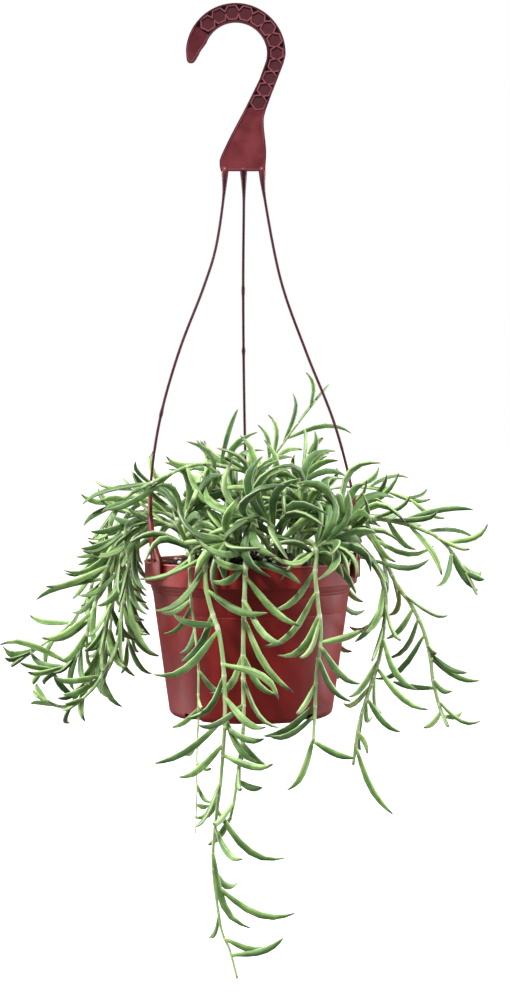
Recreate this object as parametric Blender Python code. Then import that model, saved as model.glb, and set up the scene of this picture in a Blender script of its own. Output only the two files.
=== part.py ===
# A string of fishhooks in its hanging pot: a thin red-brown pot, a moulded hanger with a flat
# hook and three wires, peat, and leafy stems that arch up and trail down past the rim.
# The origin is where the hook's inner crown bears. X runs right, Y back, Z up.
import math
import random

import bmesh
import bpy
import numpy as np
from mathutils import Matrix, Vector

MM = 0.001
GAP = 0.0003
MERGE = 0.00001

# Where the pot's rim centre lies under the hook
POT_AXIS_X = 0.0106
RIM_Z = -0.3743

# Pot, in mm from the rim's centre
RIM_RADIUS = 75.0
RIM_BAND = 15.5
RIM_WALL = 1.6
LIP = 1.0
TOP_RADIUS = 70.5
BASE_RADIUS = 58.5
POT_HEIGHT = 108.5
POT_WALL = 1.3
FLOOR = 1.8
BASE_ROUND = 5.0
FOOT_INNER_ROUND = 3.4
NECK_DEPTH = 1.4
CORNER = 0.4
POT_SIDES = 32
STEP_DEPTHS = (19.2, 21.2)
STEP_IN = 0.45
STEP_DROP = 0.3
BAND_TAPER = 0.8
DRAIN_ANGLES = (45, 135, 225, 315)
DRAIN_WIDTH = 15.0
DRAIN_HEIGHT = 5.3
DRAIN_REACH = 11.0

# Soil, in mm
SOIL_RADIUS = 72.0
SOIL_EDGE = -9.0
SOIL_RISE = 16.0
SOIL_BUMP = 1.1
SOIL_RINGS = (20, 42, 60)
SOIL_SIDES = 18
SOIL_LOOSE_TOP = 0.6
SOIL_LOOSE_NECK = 0.4
SOIL_LOOSE_FOOT = 1.4
HOLE_CLEARANCE = 0.8
HOLE_SIDES = 5
HOLE_REACH = 30.0

# Hook, in mm from the centre of its round crown
CROWN_RADIUS = 21.7
CROWN_OUTER = 34.7
HOOK_THICK = 4.0
CROWN_ENDS = (-14, 160)
OUTER_ENDS = (-2, 176)
INNER_POINTS = 14
OUTER_POINTS = 15
EDGE_STEP = 9.0
TIP_STEP = 3.0
TIP_CURVE = ((-34.4, -0.8), (-34.0, -4.6), (-32.2, -6.3), (-29.2, -5.9), (-26.6, -2.2), (-24.4, 2.0))
SHANK_OUTER = ((33.2, -6.8), (28.8, -18.0), (23.6, -31.5), (20.0, -42.3), (19.6, -50.3), (21.2, -67.8),
               (20.4, -81.2))
SHANK_INNER = ((-10.4, -81.2), (-11.3, -74.3), (-6.8, -63.6), (-1.4, -52.9), (6.7, -37.7), (16.5, -18.0))
CELL_RADIUS = 4.1
CELL_DEPTH = 0.9
CELL_PATH = 28.4
CELL_ANGLES = (133, 114, 95, 76, 57, 38, 19)
CELL_SHANK = ((28.6, 0.2), (27.3, -8.2), (23.5, -16.9), (20.0, -25.0), (16.0, -33.8))

# Hanger wires: from the plate's foot to the clip over the rim, in mm from the rim's centre
WIRE_RADIUS = 1.0
WIRE_SIDES = 5
WIRE_ROOT = 2.5
WIRE_TAPER = 20.0
WIRE_TAPER_START = 4.0
WIRE_FOOT = 22.0
WIRE_STEP = 22.0
WIRES = {
    "left": ((-18.0, 0, 274), (-19.2, -3, 252), (-24.5, -8, 217), (-33.4, -14, 188), (-48.9, -22, 147),
             (-61.0, -28, 105), (-67.4, -33, 67), (-69.0, -38, 34), (-66.8, -40.6, 14),
             (-64.2, -41.0, 1.7)),
    "back": ((-5.2, 0, 274), (-5.0, 8, 252), (-5.6, 26, 194), (-5.2, 46, 127), (-4.0, 64, 61),
             (-2.6, 73.5, 20), (-2.3, 76.0, 1.7)),
    "right": ((7.6, 0, 274), (9.6, -2, 252), (20.8, -6, 195), (38.4, -10, 145), (57.0, -15, 98),
              (68.5, -19, 56), (73.3, -22.5, 26), (73.0, -23.6, 1.7)),
}
CLIP_ANGLES = {"left": -57.5, "back": 181.7, "right": 72.0}
CLIP_WIDTH = 13.0
CLIP_IN = 71.1
CLIP_OUT = 77.9
CLIP_FLAP = 1.7
CLIP_TOP = 2.1
CLIP_OVER_RIM = 0.4
CLIP_OUTER_DROP = 10.5
CLIP_INNER_DROP = 4.5

# Room kept round the leaves while they are placed, in mm
SOIL_ROOM = 0.5
POT_ROOM = 0.6
OWN_OVERLAP = 0.6
OWN_BASE_FREE = 9.0
SEARCH_REACH = 6.0
WIRE_ROOM = 0.8
CLIP_BALL = 1.8

# Stems and leaves, in mm
STEM_SIDES = 4
RING_STEP = 18.0
ROOT_DEPTH = 9.0
LEAF_STATIONS = (0.0, 0.34, 0.7)
LEAF_WIDTHS = (0.5, 0.98, 0.8)
LEAF_THICKNESS = 0.36
LEAF_SINK = 0.55
LEAF_GAP = 0.45
GOLDEN_ANGLE = 137.5
TRY_TURNS = (0, 42, -42, 85, -85, 130, -130, 175)
TRY_LENGTHS = (1.0, 0.88, 0.76)
TURN_SPREAD = 22
PITCH_SPREAD = (0.85, 1.15)
TAKEN_NEAR = 0.4
LENGTH_SPREAD = (0.95, 1.25)
SPLAY = (34, 64)
BOW = (0.15, 0.3)
ROLL = 40
LIFT = 0.12

# Each stem: its route from where it leaves the soil, in mm from the rim's centre; its radius at
# the root and at the tip; leaf length at the root and at the tip; leaf width; the spacing of the
# leaves; where the first leaf sits; and its set leaves as (place along the route's points,
# (x, y, z) of the leaf's tip, bow). A crown shoot has its own splay and bow ranges.
STEMS = {
    "stem_front_long": dict(
        route=((-12, -36, 9), (-19, -58, 12), (-29, -71, 7), (-30, -76, -11), (-26, -79, -29),
               (-21, -83, -44),
               (-18, -86, -66), (-17, -86, -95), (-18, -86, -115), (-20, -86, -141), (-24, -86, -175),
               (-25, -86, -200), (-20, -85, -239), (-14, -85, -255), (-9, -85, -274)),
        radius=(1.8, 0.9), length=(46, 24), width=5.0, pitch=15, first=44,
        leaves=((4.6, (-51, -92, -31), 0.15), (4.9, (-62, -102, -72), 0.2),
                (5.9, (20, -96, -84), -0.22), (7.2, (-64, -98, -128), 0.15), (7.5, (9, -100, -112), 0.2),
                (8.1, (-46, -94, -140), 0.1), (8.4, (15, -98, -130), 0.15), (9.6, (22, -84, -196), 0.25),
                (10.6, (-3, -84, -243), 0.2), (11.3, (30, -85, -231), 0.25), (12.4, (16, -82, -252), 0.25),
                (13.2, (22, -85, -246), 0.2))),
    "stem_front_mid": dict(
        route=((7, -36, 10), (0, -60, 14), (-3, -77, 6), (-4, -81, -15), (-5, -80, -48), (-5, -79, -81),
               (-5, -79, -107), (-8, -79, -132), (-11, -79, -155), (-14, -79, -169)),
        radius=(1.8, 1.1), length=(44, 30), width=4.8, pitch=17, first=46,
        leaves=((2.35, (-25, -88, 8), 0.2), (2.3, (-26, -86, -10), 0.25), (2.1, (33, -88, -10), -0.14),
                (2.6, (32, -88, -39), 0.12), (3.6, (29, -86, -82), 0.18),
                (5.4, (-34, -112, -102), 0.15), (6.4, (12, -82, -133), 0.15), (7.4, (8, -86, -146), 0.2),
                (8.9, (-29, -78, -186), 0.15))),
    "stem_front_thin": dict(
        route=((-24, -44, 6), (-38, -58, 9), (-41, -69, 3), (-40, -72, -22), (-37, -73, -47),
               (-35, -74, -67),
               (-35, -76, -85), (-35, -78, -101), (-36, -79, -126), (-36, -79, -151), (-37, -79, -178)),
        radius=(1.2, 0.4), length=(30, 12), width=3.6, pitch=25.5, first=60,
        leaves=((1.8, (-67, -60, -9), 0.2), (3.0, (-60, -62, -32), 0.2), (8.2, (-26, -84, -134), 0.2),
                (9.3, (-28, -76, -160), 0.2))),
    "stem_front_right": dict(
        route=((33, -30, 10), (40, -50, 16), (44, -67, 9), (43, -70, -5), (45, -70, -25), (47, -68, -46),
               (44, -67, -73), (43, -66, -99), (42, -66, -118)),
        radius=(1.7, 1.1), length=(44, 36), width=4.8, pitch=16.5, first=40,
        leaves=((1.9, (10, -86, 11), 0.5), (1.4, (8, -76, 20), -0.25), (2.8, (16, -86, -28), 0.2),
                (3.6, (9, -88, -54), 0.2), (4.4, (19, -86, -60), 0.3),
                (5.2, (75, -70, -42), 0.1), (5.3, (72, -76, -80), 0.15), (6.2, (30, -82, -98), 0.15),
                (7.1, (12, -84, -113), 0.2), (7.9, (27, -70, -152), 0.1), (8.0, (70, -62, -130), 0.12))),
    "stem_right_front": dict(
        route=((36, -14, 13), (54, -24, 24), (73, -33, 13), (85, -38, 0), (92, -40, -21), (91, -40, -42),
               (88, -40, -64), (80, -41, -90), (74, -41, -110), (70, -41, -138)),
        radius=(1.8, 1.1), length=(44, 34), width=4.5, pitch=17, first=44,
        leaves=((4.1, (70, -56, -52), 0.15), (5.0, (82, -54, -66), 0.1), (6.1, (68, -50, -92), 0.1),
                (6.3, (120, -46, -101), 0.15), (7.1, (102, -44, -116), 0.15), (8.2, (80, -52, -128), -0.15),
                (8.6, (98, -42, -172), 0.15))),
    "stem_right_long": dict(
        route=((32, 2, 11), (46, 7, 24), (64, 11, 29), (82, 13, 18), (95, 14, -2), (103, 14, -18),
               (113, 14, -32),
               (122, 14, -50), (127, 14, -69), (129, 13, -86), (134, 12, -106), (138, 12, -115)),
        radius=(1.8, 1.2), length=(42, 30), width=4.2, pitch=16, first=40,
        leaves=((6.2, (96, 8, -57), 0.15), (7.2, (88, 10, -88), 0.2), (7.6, (131, 4, -66), 0.3),
                (8.1, (162, 14, -88), 0.15), (9.0, (142, 6, -94), 0.3), (9.3, (100, 6, -86), 0.1),
                (10.2, (122, 10, -120), 0.2), (10.7, (150, 14, -110), 0.2))),
    "stem_right_arch": dict(
        route=((28, -6, 13), (42, -8, 25), (63, -8, 31), (90, -8, 29), (106, -8, 26), (118, -8, 22),
               (129, -8, 17),
               (138, -8, 9), (150, -8, -8)),
        radius=(2.1, 1.0), length=(46, 28), width=4.3, pitch=9, first=36,
        leaves=((1.9, (103, -16, 62), 0.22), (2.6, (100, -12, -2), -0.14), (3.2, (114, -4, 6), -0.12),
                (3.7, (155, -14, 36), -0.12), (4.3, (132, -20, -10), 0.15), (5.4, (157, 4, 16), -0.2),
                (6.2, (152, -18, 8), 0.15), (7.0, (158, -6, -22), 0.1), (8.0, (163, -8, -14), 0.06),
                (8.0, (158, -14, -24), 0.06))),
    "stem_right_thin": dict(
        route=((30, 28, 9), (36, 29, 32), (50, 29, 46), (64, 28, 50), (79, 26, 50), (97, 24, 47),
               (114, 22, 41)),
        radius=(1.2, 0.7), length=(30, 24), width=3.6, pitch=17, first=46,
        leaves=((3.1, (68, 24, 56), -0.1), (4.2, (112, 32, 58), -0.2), (5.0, (128, 24, 40), 0.1),
                (6.0, (138, 22, 28), 0.15))),
    "stem_top_thin": dict(
        route=((8, 32, 9), (8, 29, 38), (11, 25, 62), (24, 22, 83), (32, 20, 94), (46, 18, 112)),
        radius=(1.2, 0.6), length=(30, 26), width=3.4, pitch=19.5, first=44,
        leaves=((2.9, (32, 26, 117), 0.15), (3.2, (71, 14, 90), 0.22), (4.1, (56, 24, 124), 0.05))),
    "stem_top_spray": dict(
        route=((20, 10, 11), (23, 4, 35), (28, 2, 45), (33, 0, 53), (37, -2, 64), (40, -3, 74)),
        radius=(1.8, 1.0), length=(38, 30), width=4.5, pitch=10.5, first=22,
        leaves=((3.2, (61, -4, 70), 0.22), (3.0, (66, -12, 60), 0.25), (4.0, (46, -4, 90), 0.15),
                (2.2, (48, 10, 60), 0.15), (2.9, (8, 8, 62), 0.15), (1.2, (44, -12, 38), 0.2),
                (5.0, (50, -4, 86), 0.1))),
    "stem_left_arch": dict(
        route=((12, -4, 15), (13, -10, 38), (4, -17, 58), (-14, -26, 65), (-31, -34, 68), (-44, -40, 66),
               (-60, -46, 59), (-74, -50, 52)),
        radius=(1.6, 1.0), length=(42, 30), width=4.2, splay=(24, 44), pitch=17, first=34,
        leaves=((1.6, (-8, -8, 108), 0.1), (3.0, (-38, -26, 84), 0.15), (4.2, (-58, -44, 72), 0.2),
                (5.0, (-26, -46, 38), 0.15), (5.6, (-99, -56, 36), 0.12), (6.5, (-115, -53, 43), -0.12))),
    "stem_left_a": dict(
        route=((-32, 5, 10), (-48, 0, 25), (-63, -6, 34), (-76, -11, 31), (-87, -14, 21), (-95, -15, 6),
               (-101, -16, -8),
               (-105, -16, -20), (-110, -16, -35), (-115, -16, -53), (-120, -16, -64), (-126, -16, -71),
               (-134, -16, -75), (-146, -16, -77)),
        radius=(1.8, 1.0), length=(42, 28), width=4.3, splay=(20, 48), pitch=12.5, first=40,
        leaves=((3.2, (-111, -20, 20), 0.1), (4.2, (-118, -18, 8), 0.08), (5.6, (-142, -22, -18), 0.1),
                (6.3, (-150, -14, -26), -0.1), (8.0, (-144, -22, -55), 0.15), (11.0, (-174, -16, -54),
                -0.1),
                (12.2, (-160, -22, -70), 0.1), (13.0, (-152, -14, -86), 0.1))),
    "stem_left_b": dict(
        route=((-33, 20, 9), (-52, 16, 32), (-70, 10, 41), (-84, 6, 35), (-92, 4, 20), (-97, 3, 0),
               (-99, 2, -18),
               (-101, 0, -36), (-104, 0, -55), (-108, 0, -70), (-114, 0, -83), (-121, 0, -94),
               (-128, 0, -102),
               (-136, 0, -103), (-146, 0, -98)),
        radius=(1.9, 1.0), length=(42, 28), width=4.5, splay=(20, 48), pitch=14, first=44,
        leaves=((2.6, (-106, 4, 42), -0.15), (4.1, (-121, -2, -4), 0.12), (6.1, (-74, -8, -42), 0.2),
                (9.2, (-92, -8, -104), 0.12), (11.3, (-138, -6, -78), 0.15), (13.0, (-155, -4, -100), 0.1),
                (13.8, (-152, 4, -88), 0.1))),
    "stem_left_c": dict(
        route=((-28, -16, 9), (-43, -22, 19), (-59, -26, 26), (-71, -28, 24), (-80, -29, 13),
               (-84, -29, -2),
               (-86, -29, -19), (-89, -28, -34), (-91, -28, -52), (-95, -28, -65), (-101, -28, -75),
               (-108, -28, -86),
               (-116, -28, -94)),
        radius=(1.7, 1.0), length=(40, 28), width=4.3, splay=(20, 48), pitch=14, first=38,
        leaves=((5.2, (-72, -38, -36), 0.2), (6.0, (-66, -42, -62), 0.2), (7.2, (-88, -36, -70), 0.1),
                (9.2, (-104, -34, -90), 0.1), (10.3, (-136, -34, -80), 0.12), (12.0, (-128, -30, -98),
                0.1))),
    "stem_left_d": dict(
        route=((-28, 36, 9), (-49, 34, 38), (-72, 30, 49), (-92, 26, 41), (-103, 22, 21), (-109, 20, 0),
               (-114, 18, -22), (-122, 16, -38), (-132, 14, -50), (-146, 13, -60), (-159, 12, -69),
               (-168, 12, -75)),
        radius=(1.6, 0.8), length=(40, 20), width=4.2, splay=(20, 48), pitch=15, first=46,
        leaves=((3.2, (-120, 20, 24), -0.1), (5.2, (-128, 30, -30), 0.1), (7.6, (-158, 20, -42), 0.1),
                (10.2, (-174, 12, -66), 0.08))),
    "stem_left_e": dict(
        route=((-24, 44, 8), (-44, 46, 28), (-64, 44, 33), (-77, 42, 26), (-84, 38, 13), (-85, 36, -2),
               (-86, 34, -24),
               (-87, 32, -45), (-89, 32, -63)),
        radius=(1.6, 0.9), length=(40, 28), width=4.2, splay=(20, 48), pitch=15, first=40,
        leaves=((4.2, (-112, 44, -12), 0.1), (6.2, (-72, 30, -56), 0.2), (7.5, (-66, 34, -72), 0.15),
                (8.0, (-92, 30, -84), 0.1))),
    "stem_left_f": dict(
        route=((-37, -6, 8), (-51, -11, 21), (-66, -17, 28), (-80, -21, 22), (-88, -23, 8), (-92, -23, -10),
               (-96, -23, -28), (-100, -22, -44), (-103, -22, -60)),
        radius=(1.6, 0.9), length=(36, 28), width=4.2, splay=(20, 44), pitch=12, first=44, leaves=()),
    "stem_left_g": dict(
        route=((-40, 28, 5), (-52, 26, 20), (-68, 21, 30), (-82, 18, 26), (-91, 18, 12), (-95, 18, -4),
               (-97, 18, -22), (-99, 17, -42), (-102, 16, -60), (-108, 15, -74)),
        radius=(1.6, 0.9), length=(36, 28), width=4.2, splay=(20, 44), pitch=13, first=48,
        leaves=((5.2, (-74, 14, -32), 0.2), (7.4, (-82, 14, -84), 0.2))),
    "stem_back_a": dict(
        route=((-22, 58, 5), (-27, 70, 9), (-30, 80, 0), (-31, 84, -20), (-29, 85, -45), (-26, 84, -68),
               (-27, 84, -90)),
        radius=(1.7, 1.0), length=(40, 28), width=4.5, pitch=22, first=26, leaves=()),
    "stem_back_b": dict(
        route=((14, 60, 5), (17, 72, 9), (18, 82, 0), (17, 85, -22), (20, 86, -44), (22, 85, -66),
               (20, 85, -84)),
        radius=(1.7, 1.0), length=(40, 28), width=4.5, pitch=22, first=26, leaves=()),
    "stem_back_c": dict(
        route=((42, 44, 5), (52, 54, 9), (61, 62, 0), (64, 65, -18), (62, 66, -40), (58, 64, -58),
               (58, 63, -76)),
        radius=(1.6, 1.0), length=(38, 26), width=4.3, pitch=22, first=26, leaves=()),
    "stem_back_d": dict(
        route=((-3, 52, 6), (-4, 62, 22), (-6, 80, 24), (-8, 92, 12), (-9, 97, -8), (-9, 98, -32),
               (-6, 97, -52)),
        radius=(1.6, 1.0), length=(38, 28), width=4.3, pitch=22, first=28, leaves=()),
    "crown_front": dict(
        route=((16, -48, 6), (18, -54, 17), (14, -60, 27), (6, -65, 32), (-2, -69, 31)),
        radius=(1.6, 1.0), length=(46, 40), width=6.2, splay=(52, 96), bow=(0.3, 0.6), pitch=8, first=6,
        leaves=((1.2, (-20, -68, 30), 0.25),)),
    "crown_front_left": dict(
        route=((-40, -34, 5), (-45, -38, 16), (-46, -36, 28), (-42, -34, 38), (-34, -33, 43)),
        radius=(1.5, 1.0), length=(46, 40), width=5.6, splay=(52, 96), bow=(0.3, 0.6), pitch=8.5, first=6,
        leaves=((1.2, (-22, -62, 24), 0.3), (1.8, (-34, -62, 32), 0.25))),
    "crown_middle": dict(
        route=((-2, -16, 12), (-5, -21, 25), (-8, -26, 37), (-6, -32, 45), (2, -37, 48)),
        radius=(1.6, 1.0), length=(46, 42), width=5.6, splay=(52, 96), bow=(0.3, 0.6),
        pitch=8, first=7, leaves=()),
    "crown_low": dict(
        route=((-4, -44, 5), (-8, -53, 13), (-13, -61, 18), (-18, -68, 17)),
        radius=(1.4, 1.0), length=(40, 36), width=5.8, splay=(50, 90), bow=(0.3, 0.5),
        pitch=8, first=6, leaves=()),
    "crown_low_right": dict(
        route=((40, -50, 1), (43, -57, 9), (48, -63, 15), (55, -67, 17)),
        radius=(1.4, 1.0), length=(40, 36), width=5.8, splay=(50, 90), bow=(0.3, 0.5),
        pitch=8, first=6, leaves=()),
    "crown_right": dict(
        route=((56, -36, 1), (61, -40, 14), (63, -42, 26), (60, -41, 36), (53, -39, 42)),
        radius=(1.5, 1.0), length=(46, 40), width=5.6, splay=(52, 96), bow=(0.3, 0.6), pitch=8.5, first=6,
        leaves=((1.4, (84, -54, 22), 0.25), (2.4, (76, -50, 56), 0.2))),
    "crown_right_mid": dict(
        route=((30, -24, 10), (34, -28, 24), (37, -30, 36), (32, -34, 44), (24, -37, 46)),
        radius=(1.6, 1.0), length=(46, 40), width=5.6, splay=(52, 96), bow=(0.3, 0.6),
        pitch=8, first=7, leaves=()),
    "crown_back": dict(
        route=((0, 14, 12), (-3, 15, 27), (-8, 14, 40), (-16, 12, 49), (-25, 10, 52)),
        radius=(1.6, 1.0), length=(46, 40), width=5.1, splay=(52, 96), bow=(0.3, 0.6),
        pitch=8.5, first=7, leaves=()),
    "crown_back_right": dict(
        route=((48, 24, 6), (52, 27, 18), (50, 32, 30), (43, 38, 38)),
        radius=(1.5, 1.0), length=(42, 38), width=5.0, splay=(52, 96), bow=(0.3, 0.6),
        pitch=9, first=7, leaves=()),
    "crown_back_left": dict(
        route=((-46, 42, 3), (-50, 50, 12), (-50, 57, 21), (-44, 63, 26)),
        radius=(1.5, 1.0), length=(42, 38), width=5.0, splay=(52, 96), bow=(0.3, 0.6),
        pitch=9, first=7, leaves=()),
}


def clear_scene():
    for thing in list(bpy.data.objects):
        bpy.data.objects.remove(thing)


def material(name, colour, roughness):
    made = bpy.data.materials.new(name)
    made.use_nodes = True
    shader = made.node_tree.nodes["Principled BSDF"]
    shader.inputs["Base Color"].default_value = (*colour, 1.0)
    shader.inputs["Roughness"].default_value = roughness
    shader.inputs["Metallic"].default_value = 0.0
    return made


def placed(point):
    """A point in mm from the rim's centre, in metres from the hook's bearing point."""
    return Vector((POT_AXIS_X + point[0] * MM, point[1] * MM, RIM_Z + point[2] * MM))


def object_from(bm, name, finish, smooth_angle=None):
    bmesh.ops.recalc_face_normals(bm, faces=bm.faces)
    mesh = bpy.data.meshes.new(name)
    bm.to_mesh(mesh)
    bm.free()
    if smooth_angle:
        mesh.shade_smooth()
        mesh.set_sharp_from_angle(angle=math.radians(smooth_angle))
    if finish:
        mesh.materials.append(finish)
    made = bpy.data.objects.new(name, mesh)
    bpy.context.scene.collection.objects.link(made)
    return made


def boolean(target, operation, others, solver="EXACT"):
    """Joins or cuts target with other objects, applies it, and removes them."""
    group = bpy.data.collections.new(target.name + "_tools")
    bpy.context.scene.collection.children.link(group)
    for other in others:
        bpy.context.scene.collection.objects.unlink(other)
        group.objects.link(other)
    modifier = target.modifiers.new("join", "BOOLEAN")
    modifier.operation = operation
    modifier.operand_type = "COLLECTION"
    modifier.collection = group
    modifier.solver = solver
    bpy.context.view_layer.update()
    graph = bpy.context.evaluated_depsgraph_get()
    mesh = bpy.data.meshes.new_from_object(target.evaluated_get(graph))
    target.modifiers.clear()
    target.data = mesh
    for other in others:
        bpy.data.objects.remove(other)
    bpy.data.collections.remove(group)


def smooth_path(points, step):
    """A smooth curve through the points, sampled about every step mm, with each point's place along it."""
    given = [np.array(p, float) for p in points]
    ends = [2 * given[0] - given[1]] + given + [2 * given[-1] - given[-2]]
    path = []
    places = []
    for i in range(len(given) - 1):
        a, b, c, d = ends[i:i + 4]
        count = max(1, round(float(np.linalg.norm(c - b)) / step))
        for k in range(count):
            t = k / count
            point = 0.5 * (2 * b + (c - a) * t + (2 * a - 5 * b + 4 * c - d) * t * t
                           + (3 * b - a - 3 * c + d) * t ** 3)
            path.append(point)
            places.append(i + t)
    path.append(given[-1])
    places.append(len(given) - 1.0)
    return np.array(path), np.array(places)


def directions(path):
    ahead = np.gradient(path, axis=0)
    return ahead / np.linalg.norm(ahead, axis=1)[:, None]


def unit(vector):
    return vector / (np.linalg.norm(vector) + 1e-9)


def tube(name, path, radii, sides, finish=None, smooth_angle=60):
    """A closed tube along the path, its rings turned as little as possible from one to the next."""
    bm = bmesh.new()
    ahead = directions(path)
    side = unit(np.cross(ahead[0], (0.31, 0.2, 0.93)))
    rings = []
    for point, along, radius in zip(path, ahead, radii):
        side = unit(side - along * side.dot(along))
        other = np.cross(along, side)
        ring = []
        for k in range(sides):
            turn = 2 * math.pi * k / sides
            offset = side * math.cos(turn) + other * math.sin(turn)
            ring.append(bm.verts.new(placed(point + offset * radius)))
        rings.append(ring)
    for low, high in zip(rings, rings[1:]):
        for k in range(sides):
            bm.faces.new((low[k], low[(k + 1) % sides], high[(k + 1) % sides], high[k]))
    bm.faces.new(rings[0][::-1])
    bm.faces.new(rings[-1])
    return object_from(bm, name, finish, smooth_angle)


def outer_radius(depth):
    """The pot's wall at a depth below the rim's top."""
    return TOP_RADIUS + (BASE_RADIUS - TOP_RADIUS) * (depth - RIM_BAND) / (POT_HEIGHT - RIM_BAND)


def make_pot(finish):
    """A turned shell: banded rim, two fine steps, sloping wall, rounded foot and flat floor."""
    inside_depth = POT_HEIGHT - FLOOR
    stepped = len(STEP_DEPTHS) * STEP_IN
    profile = [(0.0, -inside_depth), (BASE_RADIUS - stepped - BASE_ROUND, -inside_depth),
               (BASE_RADIUS - stepped - POT_WALL - CORNER, -inside_depth + FOOT_INNER_ROUND),
               (TOP_RADIUS - stepped - POT_WALL, -RIM_BAND - NECK_DEPTH),
               (RIM_RADIUS - RIM_WALL - BAND_TAPER, -RIM_BAND + POT_WALL), (RIM_RADIUS - RIM_WALL, 0.0),
               (RIM_RADIUS - CORNER, 0.0), (RIM_RADIUS, -CORNER), (RIM_RADIUS, -LIP),
               (RIM_RADIUS - CORNER, -LIP - CORNER), (RIM_RADIUS - BAND_TAPER, -RIM_BAND),
               (outer_radius(RIM_BAND), -RIM_BAND)]
    for number, depth in enumerate(STEP_DEPTHS):
        profile.append((outer_radius(depth) - STEP_IN * number, -depth))
        profile.append((outer_radius(depth) - STEP_IN * (number + 1), -depth - STEP_DROP))
    for turn in (0, 45, 90):
        angle = math.radians(turn)
        profile.append((BASE_RADIUS - stepped - BASE_ROUND * (1 - math.cos(angle)),
                        -POT_HEIGHT + BASE_ROUND * (1 - math.sin(angle))))
    profile.append((0.0, -POT_HEIGHT))
    bm = bmesh.new()
    corners = [bm.verts.new(placed((r, 0, z))) for r, z in profile]
    edges = [bm.edges.new((a, b)) for a, b in zip(corners, corners[1:])]
    bmesh.ops.spin(bm, geom=corners + edges, cent=placed((0, 0, 0)), axis=(0, 0, 1), angle=2 * math.pi,
                   steps=POT_SIDES, use_merge=True)
    bmesh.ops.remove_doubles(bm, verts=bm.verts, dist=MERGE)
    bmesh.ops.dissolve_degenerate(bm, edges=bm.edges, dist=MERGE)
    pot = object_from(bm, "pot", finish, 35)
    cutters = []
    for azimuth in DRAIN_ANGLES:
        bm = bmesh.new()
        bmesh.ops.create_cube(bm, size=1.0)
        size = (DRAIN_REACH * 2 * MM, DRAIN_WIDTH * MM, DRAIN_HEIGHT * 2 * MM)
        bmesh.ops.scale(bm, verts=bm.verts, vec=size)
        bmesh.ops.translate(bm, verts=bm.verts, vec=(BASE_RADIUS * MM, 0, 0))
        turn = Matrix.Rotation(math.radians(azimuth), 3, "Z")
        bmesh.ops.rotate(bm, verts=bm.verts, cent=(0, 0, 0), matrix=turn)
        bmesh.ops.translate(bm, verts=bm.verts, vec=placed((0, 0, -POT_HEIGHT)))
        cutters.append(object_from(bm, "drain_%d" % azimuth, None))
    boolean(pot, "DIFFERENCE", cutters, "MANIFOLD")
    return pot


def soil_height(x, y):
    """The mounded surface of the peat, in mm above the rim."""
    across = min(1.0, math.hypot(x, y) / SOIL_RADIUS)
    bumps = math.sin(x * 0.21 + 1.0) * math.cos(y * 0.19) + 0.6 * math.sin(x * 0.37 - y * 0.31)
    return SOIL_EDGE + SOIL_RISE * (1 - across ** 2.2) + SOIL_BUMP * bumps * (1 - across ** 4)


def make_soil(finish, hole_paths):
    """The peat fills the pot and rises in a low mound, with a plain hole for each stem."""
    stepped = len(STEP_DEPTHS) * STEP_IN
    clearance = GAP / MM
    floor_z = -POT_HEIGHT + DRAIN_HEIGHT + clearance
    wall_low = outer_radius(-floor_z) - stepped - POT_WALL - clearance - SOIL_LOOSE_FOOT
    wall_high = TOP_RADIUS - stepped - POT_WALL - clearance - SOIL_LOOSE_NECK
    bm = bmesh.new()
    rings = []
    for radius in SOIL_RINGS + (SOIL_RADIUS,):
        ring = []
        for k in range(SOIL_SIDES):
            angle = 2 * math.pi * k / SOIL_SIDES
            x = radius * math.cos(angle)
            y = radius * math.sin(angle)
            ring.append(bm.verts.new(placed((x, y, soil_height(x, y)))))
        rings.append(ring)
    shoulder = -RIM_BAND + POT_WALL + 2 * clearance
    sides = ((SOIL_RADIUS - SOIL_LOOSE_TOP, shoulder), (wall_high, -RIM_BAND + SOIL_LOOSE_NECK),
             (wall_low, floor_z))
    for radius, z in sides:
        ring = []
        for k in range(SOIL_SIDES):
            angle = 2 * math.pi * k / SOIL_SIDES
            ring.append(bm.verts.new(placed((radius * math.cos(angle), radius * math.sin(angle), z))))
        rings.append(ring)
    for upper, lower in zip(rings, rings[1:]):
        for k in range(SOIL_SIDES):
            bm.faces.new((upper[k], upper[(k + 1) % SOIL_SIDES], lower[(k + 1) % SOIL_SIDES], lower[k]))
    middle = bm.verts.new(placed((0, 0, soil_height(0, 0))))
    for k in range(SOIL_SIDES):
        bm.faces.new((middle, rings[0][k], rings[0][(k + 1) % SOIL_SIDES]))
    bm.faces.new(rings[-1][::-1])
    bmesh.ops.triangulate(bm, faces=bm.faces)
    soil = object_from(bm, "soil", finish, 50)
    cutters = []
    for number, (path, radius) in enumerate(hole_paths):
        cutters.append(tube("hole_%d" % number, path, [radius + HOLE_CLEARANCE] * len(path), HOLE_SIDES))
    boolean(soil, "DIFFERENCE", cutters, "MANIFOLD")
    return soil


def arc(radius, start, end, count):
    return [(radius * math.cos(math.radians(a)), radius * math.sin(math.radians(a)))
            for a in np.linspace(start, end, count)]


def hook_outline():
    """The flat hook's outline from its plate up the shank, round the crown and the tip and back."""
    inner = [tuple(p[:2]) for p in smooth_path([(*p, 0) for p in SHANK_INNER], EDGE_STEP)[0]]
    outer = [tuple(p[:2]) for p in smooth_path([(*p, 0) for p in SHANK_OUTER], EDGE_STEP)[0]]
    tip = [tuple(p[:2]) for p in smooth_path([(*p, 0) for p in TIP_CURVE], TIP_STEP)[0]]
    crown_inner = arc(CROWN_RADIUS, *CROWN_ENDS, INNER_POINTS)
    crown_outer = arc(CROWN_OUTER, *OUTER_ENDS, OUTER_POINTS)
    return inner + crown_inner + tip[::-1] + crown_outer[::-1] + outer


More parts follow.
